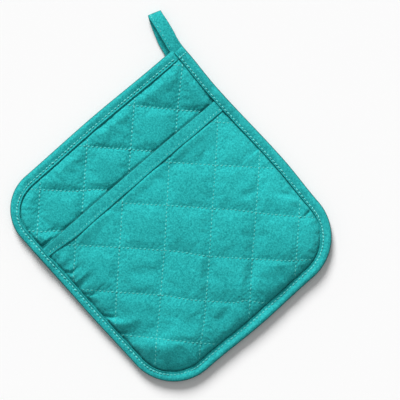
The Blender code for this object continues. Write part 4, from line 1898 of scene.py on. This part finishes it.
    def sew(self, place: Array, inward: Array, gone: Array) -> None:
        """Adds the edge's stitches, which go right through from face to face.

        Args:
            place: The stations' pattern places.
            inward: Their inward directions.
            gone: Their distances along the edge.
        """
        layers, pattern = self.shop.layers, self.shop.pattern
        spots = np.arange(5.0, gone[-1] - 3.0, self.stitch_pitch)
        x, y = np.interp(spots, gone, place[:, 0]), np.interp(spots, gone, place[:, 1])
        turn_x, turn_y = np.interp(spots, gone, inward[:, 0]), np.interp(spots, gone, inward[:, 1])
        width = layers.by_side("width", -turn_x, -turn_y)
        depth = width - layers.by_side("stitch_in", -turn_x, -turn_y)
        bump = layers.mouth_bump * layers.near_mouth(y)
        bump = bump + layers.by_side("tilt", -turn_x, -turn_y) * (depth - 0.5 * width)
        top = layers.edge_height + bump - 0.36 - 1.2 * (1.0 - ease(spots, 0.0, 9.0))
        sewn_x, sewn_y = x + turn_x * depth, y + turn_y * depth
        ahead = np.stack([turn_y, -turn_x, 0.0 * turn_x], -1)
        upward = np.tile([0.0, 0.0, 1.0], (len(spots), 1))
        front = StitchRow(Stitch(length=2.5, radius=0.42, slant=0.05), seed=8)
        front.add(pattern.settle(sewn_x, sewn_y, top), ahead, upward)
        self.shop.dress(front.build(self.shop.maker, "edge_stitches"), self.shop.thread, "cotton_tape")
        under = StitchRow(Stitch(length=2.3, radius=0.34, arch=0.2, slant=0.06), seed=9)
        under.add(pattern.settle(sewn_x, sewn_y, np.full(sewn_x.shape, 0.95)), ahead, -upward)
        self.shop.dress(under.build(self.shop.maker, "edge_stitches_under"), self.shop.thread, "cotton_tape")


@dataclass
class HangingLoop:
    """The side tape sewn shut, carried past the corner, folded back and sewn under the corner."""

    shop: Workshop
    width: float = 10.4
    thickness: float = 1.8
    stations: int = 150
    path: Tuple[Tuple[str, float, float, float, float], ...] = (
        # place, x, y, z, turn of its width in degrees
        ("inside the edge tape", 88.0, 93.0, 4.45, 0.0),
        ("leaving the corner", 88.5, 101.0, 5.6, -4.0),
        ("upper leg, low", 90.2, 109.5, 6.4, -10.0),
        ("upper leg, high", 92.2, 120.0, 6.2, -13.0),
        ("bend, upper side", 93.2, 127.6, 4.9, -17.0),
        ("tip", 93.7, 129.6, 3.0, -19.0),
        ("bend, lower side", 92.2, 126.6, 1.3, -19.0),
        ("lower leg, high", 89.2, 119.0, 1.1, -18.0),
        ("lower leg, low", 86.2, 109.5, 1.1, -17.0),
        ("under the corner", 84.4, 100.5, 1.0, -14.0),
        ("sewn end", 82.8, 94.5, 1.0, -12.0),
    )

    def line(self, place: Array) -> Array:
        """Smooth curve through the path's rows.

        Args:
            place: Real-valued row numbers.

        Returns:
            x, y, z and turn at each place.
        """
        table = np.array([row[1:] for row in self.path])
        index = np.minimum(place.astype(int), len(table) - 2)
        part = (place - index)[:, None]
        before, here = table[np.maximum(index - 1, 0)], table[index]
        after, last = table[index + 1], table[np.minimum(index + 2, len(table) - 1)]
        return (here + 0.5 * part * (after - before)
                + part ** 2 * (before - 2.5 * here + 2.0 * after - 0.5 * last)
                + part ** 3 * (-0.5 * before + 1.5 * here - 1.5 * after + 0.5 * last))

    def frames(self, place: Array) -> Tuple[Array, Array, Array]:
        """Middle, width direction and face direction of the strip.

        Args:
            place: Real-valued row numbers of the path.

        Returns:
            Middles, width directions and face directions.
        """
        middle = self.line(place)
        last = len(self.path) - 1.0
        ahead = self.line(np.minimum(place + 0.04, last)) - self.line(np.maximum(place - 0.04, 0.0))
        turn = np.radians(middle[:, 3])
        width = np.stack([np.cos(turn), np.sin(turn), 0.0 * turn], -1)
        face = np.cross(width, ahead[:, :3])
        return middle[:, :3], width, face / np.linalg.norm(face, axis=1, keepdims=True)

    def build(self) -> None:
        """Builds the strip, its edge stitches and the bar of stitches at its foot."""
        place = np.linspace(0.0, len(self.path) - 1.0, self.stations)
        middle, width, face = self.frames(place)
        half, thick = 0.5 * self.width, 0.5 * self.thickness
        waist = 1.0 - 0.05 * np.exp(-(((place - 1.6) / 0.35) ** 2))
        waist = waist + 0.02 * value_noise(place, place * 0.0, 0.8, 81)
        ring: List[Tuple[float, float]] = []
        for across in np.linspace(-0.92, 0.92, 15):
            ring.append((across * half, thick * (1.0 + 0.10 * (1.0 - across * across))))
        for turn in np.radians((60.0, 30.0, 0.0, -30.0, -60.0)):
            ring.append((0.92 * half + 0.08 * half * math.cos(turn) * 1.6, thick * math.sin(turn)))
        for across in np.linspace(0.92, -0.92, 15):
            ring.append((across * half, -thick * (1.0 + 0.10 * (1.0 - across * across))))
        for out, up in ((1.0, -0.85), (1.35, -0.45), (0.4, 0.0), (1.35, 0.45), (1.0, 0.85)):
            ring.append((-0.92 * half - 0.08 * half * out, thick * up))
        rows = [middle + width * (across * waist)[:, None] + face * (up * np.ones(len(place)))[:, None]
                for across, up in ring]
        strip = self.shop.maker.sweep("loop_strip", np.stack(rows, axis=1))
        self.shop.dress(strip, self.shop.tape, "cotton_tape", ["hanging_loop"])
        self.sew()

    def sew(self) -> None:
        """Adds the row that sews the strip shut and the bar across its foot."""
        row = StitchRow(Stitch(length=1.8, radius=0.28, arch=0.22, slant=0.05), seed=10)
        place = np.arange(1.25, 9.3, 0.34)
        middle, width, face = self.frames(place)
        ahead = np.cross(face, width)
        lift = 0.5 * self.thickness * 1.08 - 0.38 * ease(place, 5.3, 6.8)
        row.add(middle - width * (0.5 * self.width - 1.9) + face * lift[:, None], ahead, face)
        bar = StitchRow(Stitch(length=1.9, radius=0.34, arch=0.3), seed=12)
        pattern = self.shop.pattern
        x = np.arange(86.6, 93.0, 1.9)
        seat = pattern.settle(x, np.full(x.shape, 92.8), np.full(x.shape, 6.95))
        bar.add(seat, np.tile([1.0, 0.0, 0.0], (len(x), 1)), np.tile([0.0, 0.0, 1.0], (len(x), 1)))
        self.shop.dress(row.build(self.shop.maker, "loop_stitches"), self.shop.thread, "cotton_tape")
        self.shop.dress(bar.build(self.shop.maker, "loop_bar_stitches"), self.shop.thread, "cotton_tape")


@dataclass(frozen=True)
class Studio:
    """Pale table, soft light from the mouth corner's side and a camera straight above."""

    turn: float = -41.15
    centre: Tuple[float, float] = (0.0264, 0.0001)
    frame_width: float = 0.3047
    distance: float = 2.6
    sensor: float = 36.0

    def camera(self) -> None:
        """Camera that looks straight down, turned so that the loop corner is at the top."""
        data = bpy.data.cameras.new("camera")
        data.sensor_width = self.sensor
        data.lens = self.sensor * (self.distance - 0.004) / self.frame_width
        data.clip_end = 20.0
        camera = bpy.data.objects.new("camera", data)
        bpy.context.scene.collection.objects.link(camera)
        camera.location = (self.centre[0], self.centre[1], self.distance)
        camera.rotation_euler = (0.0, 0.0, math.radians(self.turn))
        bpy.context.scene.camera = camera

    def floor(self) -> None:
        """Plain pale table under the pad."""
        mesh = bmesh.new()
        bmesh.ops.create_grid(mesh, x_segments=1, y_segments=1, size=3.0)
        data = bpy.data.meshes.new("floor")
        mesh.to_mesh(data)
        mesh.free()
        floor = bpy.data.objects.new("floor", data)
        floor.location.z = -0.0004
        material = bpy.data.materials.new("pale_table")
        material.use_nodes = True
        shader = material.node_tree.nodes["Principled BSDF"]
        shader.inputs["Base Color"].default_value = (0.96, 0.96, 0.96, 1.0)
        shader.inputs["Roughness"].default_value = 0.9
        data.materials.append(material)
        bpy.context.scene.collection.objects.link(floor)

    def sun(self, name: str, heading: float, elevation: float, spread: float, strength: float) -> None:
        """A distant soft light that falls on the pad from a heading and an elevation.

        Args:
            name: Name of the light.
            heading: Degrees round from +X.
            elevation: Degrees above the table.
            spread: Degrees across the light's disc.
            strength: The light's power.
        """
        data = bpy.data.lights.new(name, "SUN")
        data.angle = math.radians(spread)
        data.energy = strength
        lamp = bpy.data.objects.new(name, data)
        turn, tilt = math.radians(heading), math.radians(elevation)
        away = Vector((math.cos(turn) * math.cos(tilt), math.sin(turn) * math.cos(tilt), math.sin(tilt)))
        lamp.location = away * 2.0
        lamp.rotation_euler = away.to_track_quat("Z", "Y").to_euler()
        bpy.context.scene.collection.objects.link(lamp)

    def build(self) -> None:
        """Sets up the table, the light and the camera."""
        self.floor()
        self.sun("key", 64.0, 33.0, 26.0, 3.85)
        self.sun("top", 0.0, 88.0, 70.0, 0.28)
        world = bpy.data.worlds.new("studio")
        world.use_nodes = True
        world.node_tree.nodes["Background"].inputs["Color"].default_value = (1.0, 1.0, 1.0, 1.0)
        world.node_tree.nodes["Background"].inputs["Strength"].default_value = 0.25
        bpy.context.scene.world = world
        bpy.context.scene.view_settings.view_transform = "Standard"
        self.camera()


def main() -> None:
    """Builds every sub-assembly in order."""
    logging.basicConfig(level=logging.INFO, format="%(name)s %(message)s")
    collection = bpy.data.collections.new("pot_holder_looks")
    bpy.context.scene.collection.children.link(collection)
    teal, light, dark = (0.014, 0.424, 0.422), (0.036, 0.600, 0.585), (0.004, 0.270, 0.282)
    shop = Workshop(
        layers=Layers(PadPattern()),
        maker=MeshMaker(collection),
        cotton=ClothFinish("teal_cotton", teal, light, dark).build(),
        pocket_cotton=ClothFinish("teal_pocket_cotton", teal, light, dark, rib_turn=0.75).build(),
        # the tape's steep sides carry painted shade, up to 75% darker
        tape=ClothFinish("teal_tape", (0.022, 0.392, 0.402), light, dark, rib_pitch=0.5, rib_turn=0.3,
                         painted_side_shade_strength=0.75).build(),
        neoprene=NeopreneFinish().build(),
        thread=ThreadFinish().build(),
        pocket_thread=ThreadFinish("teal_thread", (0.105, 0.69, 0.64)).build(),
    )
    for part in (NeopreneBack(shop), QuiltedFront(shop), Pocket(shop), MouthTape(shop), EdgeTape(shop),
                 HangingLoop(shop)):
        part.build()
    Studio().build()


if __name__ == "__main__":
    main()
